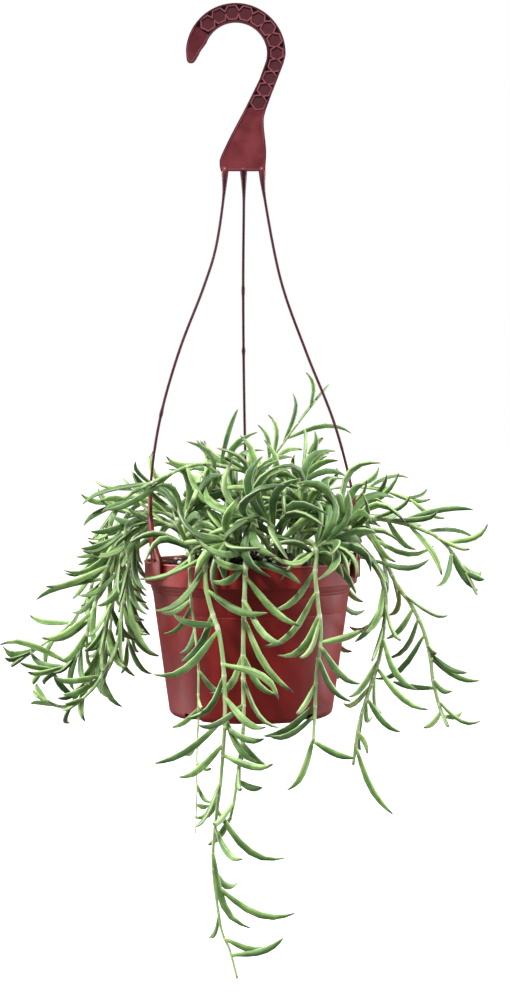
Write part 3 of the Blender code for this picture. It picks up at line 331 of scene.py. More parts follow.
# Each stem: its route from where it leaves the peat, what differs from its kind, and its set leaves as
# (place along the route's points, (x, y, z) of the leaf's tip, bow).
stems = {
    "stem_front_long": dict(width=5.0,
        route=((-12, -36, 9), (-19, -58, 12), (-29, -71, 7), (-30, -76, -11), (-26, -79, -29),
            (-21, -83, -44), (-18, -86, -66), (-17, -86, -95), (-18, -86, -115), (-20, -86, -141),
            (-24, -86, -175), (-25, -86, -200), (-20, -85, -239), (-14, -85, -255),
            (-9, -85, -274)),
        leaves=((4.6, (-51, -92, -31), 0.15), (4.9, (-62, -102, -72), 0.2),
            (5.9, (20, -96, -84), -0.22), (7.2, (-64, -98, -128), 0.15),
            (7.5, (9, -100, -112), 0.2), (8.1, (-46, -94, -140), 0.1), (8.4, (15, -98, -130), 0.15),
            (9.6, (22, -84, -196), 0.25), (10.6, (-3, -84, -243), 0.2),
            (11.3, (30, -85, -231), 0.25), (12.4, (16, -82, -252), 0.25),
            (13.2, (22, -85, -246), 0.2))),
    "stem_front_mid": dict(radius=(1.8, 1.1), length=(44, 30), pitch=17, first=46,
        route=((7, -36, 10), (0, -60, 14), (-3, -77, 6), (-4, -81, -15), (-5, -80, -48),
            (-5, -79, -81), (-5, -79, -107), (-8, -79, -132), (-11, -79, -155), (-14, -79, -169)),
        leaves=((2.35, (-25, -88, 8), 0.2), (2.3, (-26, -86, -10), 0.25),
            (2.1, (33, -88, -10), -0.14), (2.6, (32, -88, -39), 0.12), (3.6, (29, -86, -82), 0.18),
            (5.4, (-34, -112, -102), 0.15), (6.4, (12, -82, -133), 0.15),
            (7.4, (8, -86, -146), 0.2), (8.9, (-29, -78, -186), 0.15))),
    "stem_front_thin": dict(radius=(1.2, 0.4), length=(30, 12), width=3.6, pitch=25.5, first=60,
        route=((-24, -44, 6), (-38, -58, 9), (-41, -69, 3), (-40, -72, -22), (-37, -73, -47),
            (-35, -74, -67), (-35, -76, -85), (-35, -78, -101), (-36, -79, -126), (-36, -79, -151),
            (-37, -79, -178)),
        leaves=((1.8, (-67, -60, -9), 0.2), (3.0, (-60, -62, -32), 0.2),
            (8.2, (-26, -84, -134), 0.2), (9.3, (-28, -76, -160), 0.2))),
    "stem_front_right": dict(radius=(1.7, 1.1), length=(44, 36), pitch=16.5, first=40,
        route=((33, -30, 10), (40, -50, 16), (44, -67, 9), (43, -70, -5), (45, -70, -25),
            (47, -68, -46), (44, -67, -73), (43, -66, -99), (42, -66, -118)),
        leaves=((1.9, (10, -86, 11), 0.5), (1.4, (8, -76, 20), -0.25), (2.8, (16, -86, -28), 0.2),
            (3.6, (9, -88, -54), 0.2), (4.4, (19, -86, -60), 0.3), (5.2, (75, -70, -42), 0.1),
            (5.3, (72, -76, -80), 0.15), (6.2, (30, -82, -98), 0.15), (7.1, (12, -84, -113), 0.2),
            (7.9, (27, -70, -152), 0.1), (8.0, (70, -62, -130), 0.12))),
    "stem_right_front": dict(
        route=((36, -14, 13), (54, -24, 24), (73, -33, 13), (85, -38, 0), (92, -40, -21),
            (91, -40, -42), (88, -40, -64), (80, -41, -90), (74, -41, -110), (70, -41, -138)),
        leaves=((4.1, (70, -56, -52), 0.15), (5.0, (82, -54, -66), 0.1), (6.1, (68, -50, -92), 0.1),
            (6.3, (120, -46, -101), 0.15), (7.1, (102, -44, -116), 0.15),
            (8.2, (80, -52, -128), -0.15), (8.6, (98, -42, -172), 0.15))),
    "stem_right_long": dict(radius=(1.8, 1.2), length=(42, 30), width=4.2, pitch=16, first=40,
        route=((32, 2, 11), (46, 7, 24), (64, 11, 29), (82, 13, 18), (95, 14, -2), (103, 14, -18),
            (113, 14, -32), (122, 14, -50), (127, 14, -69), (129, 13, -86), (134, 12, -106),
            (138, 12, -115)),
        leaves=((6.2, (96, 8, -57), 0.15), (7.2, (88, 10, -88), 0.2), (7.6, (131, 4, -66), 0.3),
            (8.1, (162, 14, -88), 0.15), (9.0, (142, 6, -94), 0.3), (9.3, (100, 6, -86), 0.1),
            (10.2, (122, 10, -120), 0.2), (10.7, (150, 14, -110), 0.2))),
    "stem_right_arch": dict(radius=(2.1, 1.0), length=(46, 28), width=4.3, pitch=9, first=36,
        route=((28, -6, 13), (42, -8, 25), (63, -8, 31), (90, -8, 29), (106, -8, 26), (118, -8, 22),
            (129, -8, 17), (138, -8, 9), (150, -8, -8)),
        leaves=((1.9, (103, -16, 62), 0.22), (2.6, (100, -12, -2), -0.14),
            (3.2, (114, -4, 6), -0.12), (3.7, (155, -14, 36), -0.12), (4.3, (132, -20, -10), 0.15),
            (5.4, (157, 4, 16), -0.2), (6.2, (152, -18, 8), 0.15), (7.0, (158, -6, -22), 0.1),
            (8.0, (163, -8, -14), 0.06), (8.0, (158, -14, -24), 0.06))),
    "stem_right_thin": dict(radius=(1.2, 0.7), length=(30, 24), width=3.6, first=46,
        route=((30, 28, 9), (36, 29, 32), (50, 29, 46), (64, 28, 50), (79, 26, 50), (97, 24, 47),
            (114, 22, 41)),
        leaves=((3.1, (68, 24, 56), -0.1), (4.2, (112, 32, 58), -0.2), (5.0, (128, 24, 40), 0.1),
            (6.0, (138, 22, 28), 0.15))),
    "stem_top_thin": dict(
        route=((8, 32, 9), (8, 29, 38), (11, 25, 62), (24, 22, 83), (32, 20, 94), (46, 18, 112)),
        leaves=((2.9, (32, 26, 117), 0.15), (3.2, (71, 14, 90), 0.22), (4.1, (56, 24, 124), 0.05))),
    "stem_top_spray": dict(radius=(1.8, 1.0), length=(38, 30), width=4.5, pitch=10.5, first=22,
        route=((20, 10, 11), (23, 4, 35), (28, 2, 45), (33, 0, 53), (37, -2, 64), (40, -3, 74)),
        leaves=((3.2, (61, -4, 70), 0.22), (3.0, (66, -12, 60), 0.25), (4.0, (46, -4, 90), 0.15),
            (2.2, (48, 10, 60), 0.15), (2.9, (8, 8, 62), 0.15), (1.2, (44, -12, 38), 0.2),
            (5.0, (50, -4, 86), 0.1))),
    "stem_left_arch": dict(radius=(1.6, 1.0), length=(42, 30), splay=(24, 44), pitch=17, first=34,
        extra=2,
        route=((12, -4, 15), (13, -10, 38), (4, -17, 58), (-14, -26, 65), (-31, -34, 68),
            (-44, -40, 66), (-60, -46, 59), (-74, -50, 52)),
        leaves=((3.45, (-9, -26, 106), 0.06), (3.0, (-38, -26, 84), 0.15),
            (4.2, (-58, -44, 72), 0.2), (5.0, (-26, -46, 38), 0.15), (5.6, (-99, -56, 36), 0.12),
            (6.5, (-115, -53, 43), -0.12))),
    "stem_left_a": dict(radius=(1.8, 1.0), width=4.3, pitch=12.5,
        route=((-32, 5, 10), (-48, 0, 25), (-63, -6, 34), (-76, -11, 31), (-87, -14, 21),
            (-95, -15, 6), (-101, -16, -8), (-105, -16, -20), (-110, -16, -35), (-115, -16, -53),
            (-120, -16, -64), (-126, -16, -71), (-134, -16, -75), (-146, -16, -77)),
        leaves=((3.2, (-111, -20, 20), 0.1), (4.2, (-118, -18, 8), 0.08),
            (5.6, (-142, -22, -18), 0.1), (6.3, (-150, -14, -26), -0.1),
            (8.0, (-144, -22, -55), 0.15), (11.0, (-174, -16, -54), -0.1),
            (12.2, (-160, -22, -70), 0.1), (13.0, (-152, -14, -86), 0.1))),
    "stem_left_b": dict(radius=(1.9, 1.0), width=4.5, first=44,
        route=((-33, 20, 9), (-52, 16, 32), (-70, 10, 41), (-84, 6, 35), (-92, 4, 20), (-97, 3, 0),
            (-99, 2, -18), (-101, 0, -36), (-104, 0, -55), (-108, 0, -70), (-114, 0, -83),
            (-121, 0, -94), (-128, 0, -102), (-136, 0, -103), (-146, 0, -98)),
        leaves=((2.6, (-106, 4, 42), -0.15), (4.1, (-121, -2, -4), 0.12),
            (6.1, (-74, -8, -42), 0.2), (9.2, (-92, -8, -104), 0.12), (11.3, (-138, -6, -78), 0.15),
            (13.0, (-155, -4, -100), 0.1), (13.8, (-152, 4, -88), 0.1))),
    "stem_left_c": dict(radius=(1.7, 1.0), length=(40, 28), width=4.3, first=38,
        route=((-28, -16, 9), (-43, -22, 19), (-59, -26, 26), (-71, -28, 24), (-80, -29, 13),
            (-84, -29, -2), (-86, -29, -19), (-89, -28, -34), (-91, -28, -52), (-95, -28, -65),
            (-101, -28, -75), (-108, -28, -86), (-116, -28, -94)),
        leaves=((5.2, (-72, -38, -36), 0.2), (6.0, (-66, -42, -62), 0.2),
            (7.2, (-88, -36, -70), 0.1), (9.2, (-104, -34, -90), 0.1),
            (10.3, (-136, -34, -80), 0.12), (12.0, (-128, -30, -98), 0.1))),
    "stem_left_d": dict(radius=(1.6, 0.8), length=(40, 20), pitch=15, first=46,
        route=((-28, 36, 9), (-49, 34, 38), (-72, 30, 49), (-92, 26, 41), (-103, 22, 21),
            (-109, 20, 0), (-114, 18, -22), (-122, 16, -38), (-132, 14, -50), (-146, 13, -60),
            (-159, 12, -69), (-168, 12, -75)),
        leaves=((3.2, (-120, 20, 24), -0.1), (5.2, (-128, 30, -30), 0.1),
            (7.6, (-158, 20, -42), 0.1), (10.2, (-174, 12, -66), 0.08))),
    "stem_left_e": dict(length=(40, 28), pitch=15,
        route=((-24, 44, 8), (-44, 46, 28), (-64, 44, 33), (-77, 42, 26), (-84, 38, 13),
            (-85, 36, -2), (-86, 34, -24), (-87, 32, -45), (-89, 32, -63)),
        leaves=((4.2, (-112, 44, -12), 0.1), (6.2, (-72, 30, -56), 0.2),
            (7.5, (-66, 34, -72), 0.15), (8.0, (-92, 30, -84), 0.1))),
    "stem_left_f": dict(length=(36, 28), splay=(20, 44), pitch=12, first=44,
        route=((-37, -6, 8), (-51, -11, 21), (-66, -17, 28), (-80, -21, 22), (-88, -23, 8),
            (-92, -23, -10), (-96, -23, -28), (-100, -22, -44), (-103, -22, -60))),
    "stem_left_g": dict(length=(36, 28), splay=(20, 44), pitch=13, first=48,
        route=((-40, 28, 5), (-52, 26, 20), (-68, 21, 30), (-82, 18, 26), (-91, 18, 12),
            (-95, 18, -4), (-97, 18, -22), (-99, 17, -42), (-102, 16, -60), (-108, 15, -74)),
        leaves=((5.2, (-74, 14, -32), 0.2), (7.4, (-82, 14, -84), 0.2))),
    "stem_back_a": dict(
        route=((-22, 58, 5), (-27, 70, 9), (-30, 80, 0), (-31, 84, -20), (-29, 85, -45),
            (-26, 84, -68), (-27, 84, -90))),
    "stem_back_b": dict(
        route=((14, 60, 5), (17, 72, 9), (18, 82, 0), (17, 85, -22), (20, 86, -44), (22, 85, -66),
            (20, 85, -84))),
    "stem_back_c": dict(radius=(1.6, 1.0), length=(38, 26), width=4.3,
        route=((42, 44, 5), (52, 54, 9), (61, 62, 0), (64, 65, -18), (62, 66, -40), (58, 64, -58),
            (58, 63, -76))),
    "stem_back_d": dict(radius=(1.6, 1.0), length=(38, 28), width=4.3, first=28,
        route=((-3, 52, 6), (-4, 62, 22), (-6, 80, 24), (-8, 92, 12), (-9, 97, -8), (-9, 98, -32),
            (-6, 97, -52))),
    "crown_front": dict(width=6.2,
        route=((16, -48, 6), (18, -54, 17), (14, -60, 27), (6, -65, 32), (-2, -69, 31)),
        leaves=((1.2, (-20, -68, 30), 0.25),)),
    "crown_front_left": dict(radius=(1.5, 1.0), pitch=8.5,
        route=((-40, -34, 5), (-45, -38, 16), (-46, -36, 28), (-42, -34, 38), (-34, -33, 43)),
        leaves=((1.2, (-22, -62, 24), 0.3), (1.8, (-34, -62, 32), 0.25))),
    "crown_middle": dict(length=(46, 42), first=7,
        route=((-2, -16, 12), (-5, -21, 25), (-8, -26, 37), (-6, -32, 45), (2, -37, 48))),
    "crown_low": dict(radius=(1.4, 1.0), length=(40, 36), width=5.8, splay=(50, 90), bow=(0.3, 0.5),
        route=((-4, -44, 5), (-8, -53, 13), (-13, -61, 18), (-18, -68, 17))),
    "crown_low_right": dict(radius=(1.4, 1.0), length=(40, 36), width=5.8, splay=(50, 90),
        bow=(0.3, 0.5),
        route=((40, -50, 1), (43, -57, 9), (48, -63, 15), (55, -67, 17))),
    "crown_right": dict(radius=(1.5, 1.0), pitch=8.5,
        route=((56, -36, 1), (61, -40, 14), (63, -42, 26), (60, -41, 36), (53, -39, 42)),
        leaves=((1.4, (84, -54, 22), 0.25), (2.4, (76, -50, 56), 0.2))),
    "crown_right_mid": dict(first=7,
        route=((30, -24, 10), (34, -28, 24), (37, -30, 36), (32, -34, 44), (24, -37, 46))),
    "crown_back": dict(width=5.1, pitch=8.5, first=7,
        route=((0, 14, 12), (-3, 15, 27), (-8, 14, 40), (-16, 12, 49), (-25, 10, 52))),
    "crown_back_right": dict(radius=(1.5, 1.0), length=(42, 38), width=5.0, pitch=9, first=7,
        route=((48, 24, 6), (52, 27, 18), (50, 32, 30), (43, 38, 38))),
    "crown_back_left": dict(radius=(1.5, 1.0), length=(42, 38), width=5.0, pitch=9, first=7,
        route=((-46, 42, 3), (-50, 50, 12), (-50, 57, 21), (-44, 63, 26))),
}
stems = {name: {**next(shared for kind, shared in habits.items() if name.startswith(kind)), **own}
         for name, own in stems.items()}


def unit(vector):
    return vector / (np.linalg.norm(vector) + 1e-9)


def smoothPath(points, step):  # a curve through the points, and each sample's place along them
    given = [np.array(p, float) for p in points]
    ends = [2 * given[0] - given[1]] + given + [2 * given[-1] - given[-2]]
    path, places = [], []
    for i in range(len(given) - 1):
        a, b, c, d = ends[i:i + 4]
        count = max(1, round(float(np.linalg.norm(c - b)) / step))
        for t in np.arange(count) / count:
            path.append(0.5 * (2 * b + (c - a) * t + (2 * a - 5 * b + 4 * c - d) * t * t
                               + (3 * b - a - 3 * c + d) * t ** 3))
            places.append(i + t)
    return np.array(path + [given[-1]]), np.array(places + [len(given) - 1.0])


def directions(path):
    ahead = np.gradient(path, axis=0)
    return ahead / np.linalg.norm(ahead, axis=1)[:, None]


def outerRadius(depth):  # of the pot's wall, this far under the rim
    share = (depth - potSize["band"]) / (potSize["height"] - potSize["band"])
    return potSize["top"] + (potSize["base"] - potSize["top"]) * share


def soilHeight(x, y):
    across = min(1.0, math.hypot(x, y) / soilSize["radius"])
    bumps = math.sin(x * 0.21 + 1.0) * math.cos(y * 0.19) + 0.6 * math.sin(x * 0.37 - y * 0.31)
    mound = soilSize["edge"] + soilSize["rise"] * (1 - across ** 2.2)
    return mound + soilSize["bump"] * bumps * (1 - across ** 4)


class Leaf:  # a sickle: a bowed line from the stem to the tip, broad in the plane it bows in
    def __init__(self, base, along, tip, bow, width, roll=0.0):
        self.base, self.chord, self.width = base, tip - base, width
        self.length = float(np.linalg.norm(self.chord))
        forward = unit(self.chord)
        side = along - forward * along.dot(forward)
        if np.linalg.norm(side) < 0.2:  # the leaf runs along the stem, so it bows downwards
            side = np.array((0, 0, -1.0)) - forward * -forward[2]
        side = unit(side)
        self.bow = side * bow * self.length
        self.across = side * math.cos(roll) + np.cross(forward, side) * math.sin(roll)

    def point(self, u):
        return self.base + self.chord * u + self.bow * 3.0 * u ** 1.4 * (1 - u)

    def samples(self):  # points over the blade, each with the radius it covers
        found = []
        for u in np.linspace(0.06, 1.0, max(6, int(self.length / 2.4))):
            half = self.width / 2 * float(np.interp(u, (0, 0.34, 0.7, 1), (0.5, 1.0, 0.85, 0.1)))
            for side in (-0.55, 0.0, 0.55):
                found.append((*(self.point(u) + self.across * half * side), max(0.7, half * 0.5)))
        return np.array(found)


class Room:  # what already stands, as spheres kept by owner, and the pot and peat round it
    def __init__(self):
        self.balls = {}

    def add(self, owner, balls):
        self.balls.setdefault(owner, []).append(balls)

    def clear(self, owner, balls, ownBase, gap):
        p, k = potSize, keepOff
        x, y, z, radius = balls.T
        across = np.hypot(x, y)
        heights = np.array([soilHeight(a, b) for a, b in zip(x, y)])
        inside = across < p["rim"] - p["rimWall"] - radius - k["peat"]
        overSoil = z > heights + radius + k["peat"]
        wall = np.where(z > -p["band"] - k["underBand"], p["rim"], outerRadius(-z))
        outside = across > wall + radius + k["pot"]
        above = (z > radius + k["pot"]) & overSoil
        below = z < -p["height"] - radius - k["pot"]
        if not np.all((inside & overSoil) | outside | above | below):
            return False
        low = balls[:, :3].min(axis=0) - k["search"]
        high = balls[:, :3].max(axis=0) + k["search"]
        for other, groups in self.balls.items():
            margin = gap if other != owner else -k["own"]
            for group in groups:
                spots = group[:, :3]
                if np.any(spots.min(axis=0) > high) or np.any(spots.max(axis=0) < low):
                    continue
                if other == owner:
                    group = group[np.linalg.norm(spots - ownBase, axis=1) > k["ownRoot"]]
                if len(group):
                    apart = np.linalg.norm(balls[:, None, :3] - group[None, :, :3], axis=2)
                    if np.any(apart < balls[:, None, 3] + group[None, :, 3] + margin):
                        return False
        return True


def radiiAlong(stem, path):
    run = np.concatenate([[0], np.cumsum(np.linalg.norm(np.diff(path, axis=0), axis=1))])
    root, tip = stem["radius"]
    return root + (tip - root) * run / run[-1], run


def grownRoute(stem):  # with its root in the peat
    x, y, _ = stem["route"][0]
    return ((x, y, soilHeight(x, y) - growth["root"]), *stem["route"])


def drawShape(draw, stem, rule, reach, total):  # a leaf's length, splay, bow and roll
    long = stem["length"][0] + (stem["length"][1] - stem["length"][0]) * reach / total
    return (long * draw.uniform(*rule["longer"]),
            math.radians(draw.uniform(*stem.get("splay", rule["splay"]))),
            draw.uniform(*stem.get("bow", rule["bow"])),
            draw.uniform(-rule["roll"], rule["roll"]))


def freeLeaf(room, name, base, along, turn, shape, gap):  # the first turn that stands clear
    long, splay, bow, roll = shape
    side = unit(np.cross(along, slant))
    other = np.cross(along, side)
    for share in growth["shorter"]:
        for more in growth["turns"]:
            angle = turn + math.radians(more)
            radial = side * math.cos(angle) + other * math.sin(angle)
            aim = unit(along * math.cos(splay) + radial * math.sin(splay)
                       + np.array((0, 0, growth["lift"])))
            width = stems[name]["width"] * (0.7 + 0.3 * share)
            leaf = Leaf(base, along, base + aim * long * share, bow, width, roll)
            if room.clear(name, leaf.samples(), base, gap):
                return leaf
    return None


def addHanger(room):  # its wires and clips, as the leaves meet them
    k = keepOff
    for name, points in wires.items():
        path, _ = smoothPath(points, wireSize["step"])
        reach = np.full(len(path), wireSize["radius"] + k["wire"])
        room.add("hanger", np.column_stack([path, reach]))
        angle = math.radians(clip["angles"][name])
        for r in k["clipRadii"]:
            room.add("hanger", np.array([
                [r * math.sin(angle + turn), -r * math.cos(angle + turn), z, k["clip"]]
                for turn in k["clipTurns"] for z in k["clipHeights"]]))


def placeLeaves():
    room, paths = Room(), {}
    addHanger(room)
    leaves = {name: [] for name in stems}

    def keep(name, where, leaf):
        leaves[name].append((where, leaf))
        room.add(name, leaf.samples())

    for name, stem in stems.items():
        path, places = smoothPath(grownRoute(stem), form["pathStep"])
        radii, run = radiiAlong(stem, path)
        room.add(name, np.column_stack([path, radii]))
        paths[name] = (path, places - 1.0, run, directions(path))
    for name, stem in stems.items():  # the ones listed with each stem
        path, places, run, ahead = paths[name]
        for at, tip, bow in stem["leaves"]:
            i = int(np.argmin(abs(places - at)))
            keep(name, run[i], Leaf(path[i], ahead[i], np.array(tip, float), bow, stem["width"]))
    for name, stem in stems.items():  # a spiral of them along each stem
        path, _, run, ahead = paths[name]
        draw = random.Random(name)
        reach, count = growth["root"] + stem["first"], 0
        while reach < run[-1] - growth["endGap"]:
            near = stem["pitch"] * growth["crowded"]
            taken = any(abs(reach - where) < near for where, _ in leaves[name])
            jitter = draw.uniform(-growth["jitter"], growth["jitter"])
            turn = math.radians(growth["golden"] * count + jitter)
            shape = drawShape(draw, stem, growth, reach, run[-1])
            i = int(np.argmin(abs(run - reach)))
            leaf = not taken and freeLeaf(room, name, path[i], ahead[i], turn, shape, growth["gap"])
            if leaf:
                keep(name, run[i], leaf)
            reach += stem["pitch"] * draw.uniform(*growth["spacing"])
            count += 1
    low, high = [[v / mm for v in corner - place(0, 0, 0)] for corner in cadBox]
    for name, stem in stems.items():  # the extra ones stand in what room is left
        path, _, run, ahead = paths[name]
        draw, wanted = random.Random(name + " extra"), stem["extra"]
        start = growth["root"] + min(stem["first"], extras["firstMost"]) + extras["first"]
        for _ in range(wanted * extras["tries"]):
            reach = draw.uniform(start, run[-1])
            turn = draw.uniform(0, 2 * math.pi)
            shape = drawShape(draw, stem, extras, reach, run[-1])
            i = int(np.argmin(abs(run - reach)))
            leaf = freeLeaf(room, name, path[i], ahead[i], turn, shape, extras["gap"])
            if leaf and np.all(leaf.point(1.0) > low) and np.all(leaf.point(1.0) < high):
                keep(name, run[i], leaf)
                wanted -= 1
            if not wanted:
                break
    return leaves


def addMesh(bm, name):
    mesh = bpy.data.meshes.new(name)
    bm.to_mesh(mesh)
    bm.free()
    return mesh


def addObject(name, data):
    made = bpy.data.objects.new(name, data)
    bpy.context.scene.collection.objects.link(made)
    return made


def sharpen(made, degrees):
    made.data.set_sharp_from_angle(angle=math.radians(degrees))


def finishMesh(bm, name, material, sharp=None, clean=True):
    if clean:
        bmesh.ops.remove_doubles(bm, verts=bm.verts, dist=1e-6)
    bmesh.ops.recalc_face_normals(bm, faces=bm.faces)
    made = addObject(name, addMesh(bm, name))
    made.data.shade_smooth()
    if sharp:
        sharpen(made, sharp)
    made.data.materials.append(material)
    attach(made, "root")
    return made


def extruded(bm, operator, **parts):  # the new points of an extrusion, and its whole geometry
    grown = operator(bm, **parts)["geom"]
    return [g for g in grown if isinstance(g, bmesh.types.BMVert)], grown


def thicken(bm, faces, offset):  # faces into a solid
    verts, _ = extruded(bm, bmesh.ops.extrude_face_region, geom=faces)
    bmesh.ops.translate(bm, verts=verts, vec=offset)


def nextRing(bm, edges):  # a tube's open end, grown by one ring
    ring, grown = extruded(bm, bmesh.ops.extrude_edge_only, edges=edges)
    ends = set(ring)
    return ring, [g for g in grown if isinstance(g, bmesh.types.BMEdge) and set(g.verts) <= ends]


def firstRing(bm, sides, radius, matrix):
    ring = bmesh.ops.create_circle(bm, cap_ends=True, segments=sides, radius=radius,
                                   matrix=matrix)["verts"]
    return ring, list({edge for vert in ring for edge in vert.link_edges})


def frameAt(point, along, side):  # a matrix whose Z runs along the tube
    side = (side - along * side.dot(along)).normalized()
    turned = Matrix((side, along.cross(side), along)).transposed().to_4x4()
    return Matrix.Translation(place(*point)) @ turned


def sweep(bm, path, radii, sides):  # a round tube grown ring by ring along the path
    ahead = [Vector(a) for a in directions(path)]
    pose = frameAt(path[0], ahead[0], ahead[0].cross(Vector(slant)))
    start = pose @ Matrix.Diagonal((radii[0] * mm, radii[0] * mm, 1, 1))
    ring, edges = firstRing(bm, sides, 1.0, start)
    for k in range(1, len(path)):
        ring, edges = nextRing(bm, edges)
        after = frameAt(path[k], ahead[k], pose.to_3x3() @ Vector((1, 0, 0)))
        share = radii[k] / radii[k - 1]
        moved = after @ Matrix.Diagonal((share, share, 1, 1)) @ pose.inverted()
        bmesh.ops.transform(bm, matrix=moved, verts=ring)
        pose = after
    bmesh.ops.contextual_create(bm, geom=edges)


def leafTemplate():  # one plump blade along +Y: x across, z from its channelled face to its keel
    bm = bmesh.new()
    ring, edges = firstRing(bm, form["leafSides"], 1.0, Matrix.Rotation(math.radians(90), 4, "X"))
    for before, after in zip(form["stations"], form["stations"][1:]):
        ring, edges = nextRing(bm, edges)
        bmesh.ops.translate(bm, verts=ring, vec=(0, after - before, 0))
    bmesh.ops.pointmerge(bm, verts=ring, merge_co=(0, 1, 0))
    bmesh.ops.recalc_face_normals(bm, faces=bm.faces)
    return addMesh(bm, "leafTemplate")


def bendLeaf(bm, template, leaf, layers, draw):
    before = len(bm.verts)
    bm.from_mesh(template)
    bm.verts.ensure_lookup_table()
    tone, twist = draw.random(), draw.uniform(-form["twist"], form["twist"])
    curl = draw.uniform(*form["curl"]) * leaf.length * unit(leaf.bow)
    poses = {}
    for vert in bm.verts[before:]:
        x, u, z = vert.co
        key = round(u, 3)
        if key not in poses:
            along = unit(leaf.point(u + 0.02) - leaf.point(u))
            keel = unit(np.cross(leaf.across, along))
            across = leaf.across * math.cos(twist * u) + keel * math.sin(twist * u)
            hook = curl * max(0.0, u - form["curlFrom"]) ** 2 / 0.08
            half = leaf.width / 2 * float(np.interp(u, form["stations"], form["widths"]))
            poses[key] = (leaf.point(u) - hook, across, unit(np.cross(across, along)), half)
        centre, across, keel, half = poses[key]
        deep = half * form["thick"] * (1.0 - 0.25 * math.sin(math.pi * u))
        lift = z * (1.25 if z > 0 else 0.75 - 0.5 * (1 - abs(x)))
        vert.co = place(*(centre + across * x * half + keel * lift * deep * 1.5))
        for label, value in zip(form["layers"], (max(0.012, u), abs(x), tone, 0.0)):
            vert[layers[label]] = value


def growPlant(leafMaterial):
    leaves = placeLeaves()
    template = leafTemplate()
    for name, stem in stems.items():
        bm = bmesh.new()
        layers = {label: bm.verts.layers.float.new(label) for label in form["layers"]}
        path, _ = smoothPath(grownRoute(stem), form["stemStep"])
        radii, run = radiiAlong(stem, path)
        joints = [where for where, _ in leaves[name]]
        swell = np.array([max([math.exp(-((r - j) / form["swellLong"]) ** 2) for j in joints] + [0.0])
                          for r in run])
        sweep(bm, path, radii * (1 + form["swell"] * swell), form["stemSides"])
        here = np.array([place(*p) for p in path])
        for vert in bm.verts:
            near = int(np.argmin(((here - np.array(vert.co)) ** 2).sum(axis=1)))
            vert[layers["stem"]] = 1.0
            vert[layers["tone"]] = swell[near]
        draw = random.Random(name + " form")
        for _, leaf in leaves[name]:
            bendLeaf(bm, template, leaf, layers, draw)
        made = finishMesh(bm, "leafy" + name.title().replace("_", ""), leafMaterial, clean=False)
        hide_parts(name)
    print("leaves on", len(stems), "stems:", sum(map(len, leaves.values())))


def rawObject(bm, name):  # a tool for a cut, which never shows
    bmesh.ops.recalc_face_normals(bm, faces=bm.faces)
    return addObject(name, addMesh(bm, name))


def combine(target, tools, operation="DIFFERENCE"):  # a Boolean with several tools, applied
    group = bpy.data.collections.new(target.name + "Tools")
    bpy.context.scene.collection.children.link(group)
    for tool in tools:
        bpy.context.scene.collection.objects.unlink(tool)
        group.objects.link(tool)
    boolean = target.modifiers.new("cut", "BOOLEAN")
    boolean.operation, boolean.solver = operation, "EXACT"
    boolean.operand_type, boolean.collection = "COLLECTION", group
    bpy.context.view_layer.update()
    solved = target.evaluated_get(bpy.context.evaluated_depsgraph_get())
    shaped = bpy.data.meshes.new_from_object(solved)
    target.modifiers.clear()
    target.data = shaped
    for tool in tools:
        bpy.data.objects.remove(tool)
    bpy.data.collections.remove(group)


def spinProfile(bm, profile, steps):  # (radius, z) pairs turned about the pot's axis
    corners = [bm.verts.new(place(r, 0, z)) for r, z in profile]
    edges = [bm.edges.new(pair) for pair in zip(corners, corners[1:])]
    bmesh.ops.spin(bm, geom=corners + edges, cent=place(0, 0, 0), axis=(0, 0, 1), angle=2 * math.pi,
                   steps=steps, use_merge=True)


def potProfile():  # from the middle of the floor inside, over the rim and back to the middle below
    p = potSize
    rim, band, lip, low, hairLine = p["rim"], p["band"], p["lip"], -p["height"], p["hairLine"]
    stepped = len(p["steps"]) * p["stepIn"]
    base, inner, outer = p["base"] - stepped, low + p["floor"], outerRadius(band)
    wallTop = rim - p["rimWall"]
    profile = [
        (0, inner + 0.6), (18, inner + 0.6), (19, inner), (base - p["foot"], inner),
        (base - p["wall"] - 0.4, inner + 3.4), (p["top"] - stepped - p["wall"], -band - 1.4),
        (wallTop - 1.5, -band + 0.2), (wallTop - 0.6, -band + 1.6), (wallTop, -0.45),
        (wallTop + 0.15, -0.1), (wallTop + 0.45, 0.0), (rim - 0.55, 0.0), (rim - 0.12, -0.18),
        (rim, -0.5), (rim, -lip), (rim - 0.28, -lip - 0.28), (rim - 0.36, -lip - 1.0),
        (rim - 0.75, -band + 1.6), (rim - 0.78, -band + 0.5), (rim - 1.1, -band),
        (rim - 1.7, -band - 0.1), (outer + 0.4, -band - 0.1), (outer, -band - 0.5)]
    for number, depth in enumerate(p["steps"]):  # each one draws the wall in
        wall = outerRadius(depth) - p["stepIn"] * number
        profile += [(wall + 0.04, -depth + 0.25), (wall - 0.12, -depth),
                    (wall - p["stepIn"], -depth - 0.25)]
    wall = outerRadius(hairLine) - stepped
    profile += [(wall + 0.02, -hairLine + 0.4), (wall - 0.16, -hairLine), (wall, -hairLine - 0.4)]
    for turn in range(0, 91, 15):
        angle = math.radians(turn)
        profile.append((base - p["foot"] * (1 - math.cos(angle)),
                        low + p["foot"] * (1 - math.sin(angle))))
    return profile + [(47, low), (46, low + 0.5), (22, low + 0.5), (21, low + 0.2), (0, low + 0.2)]


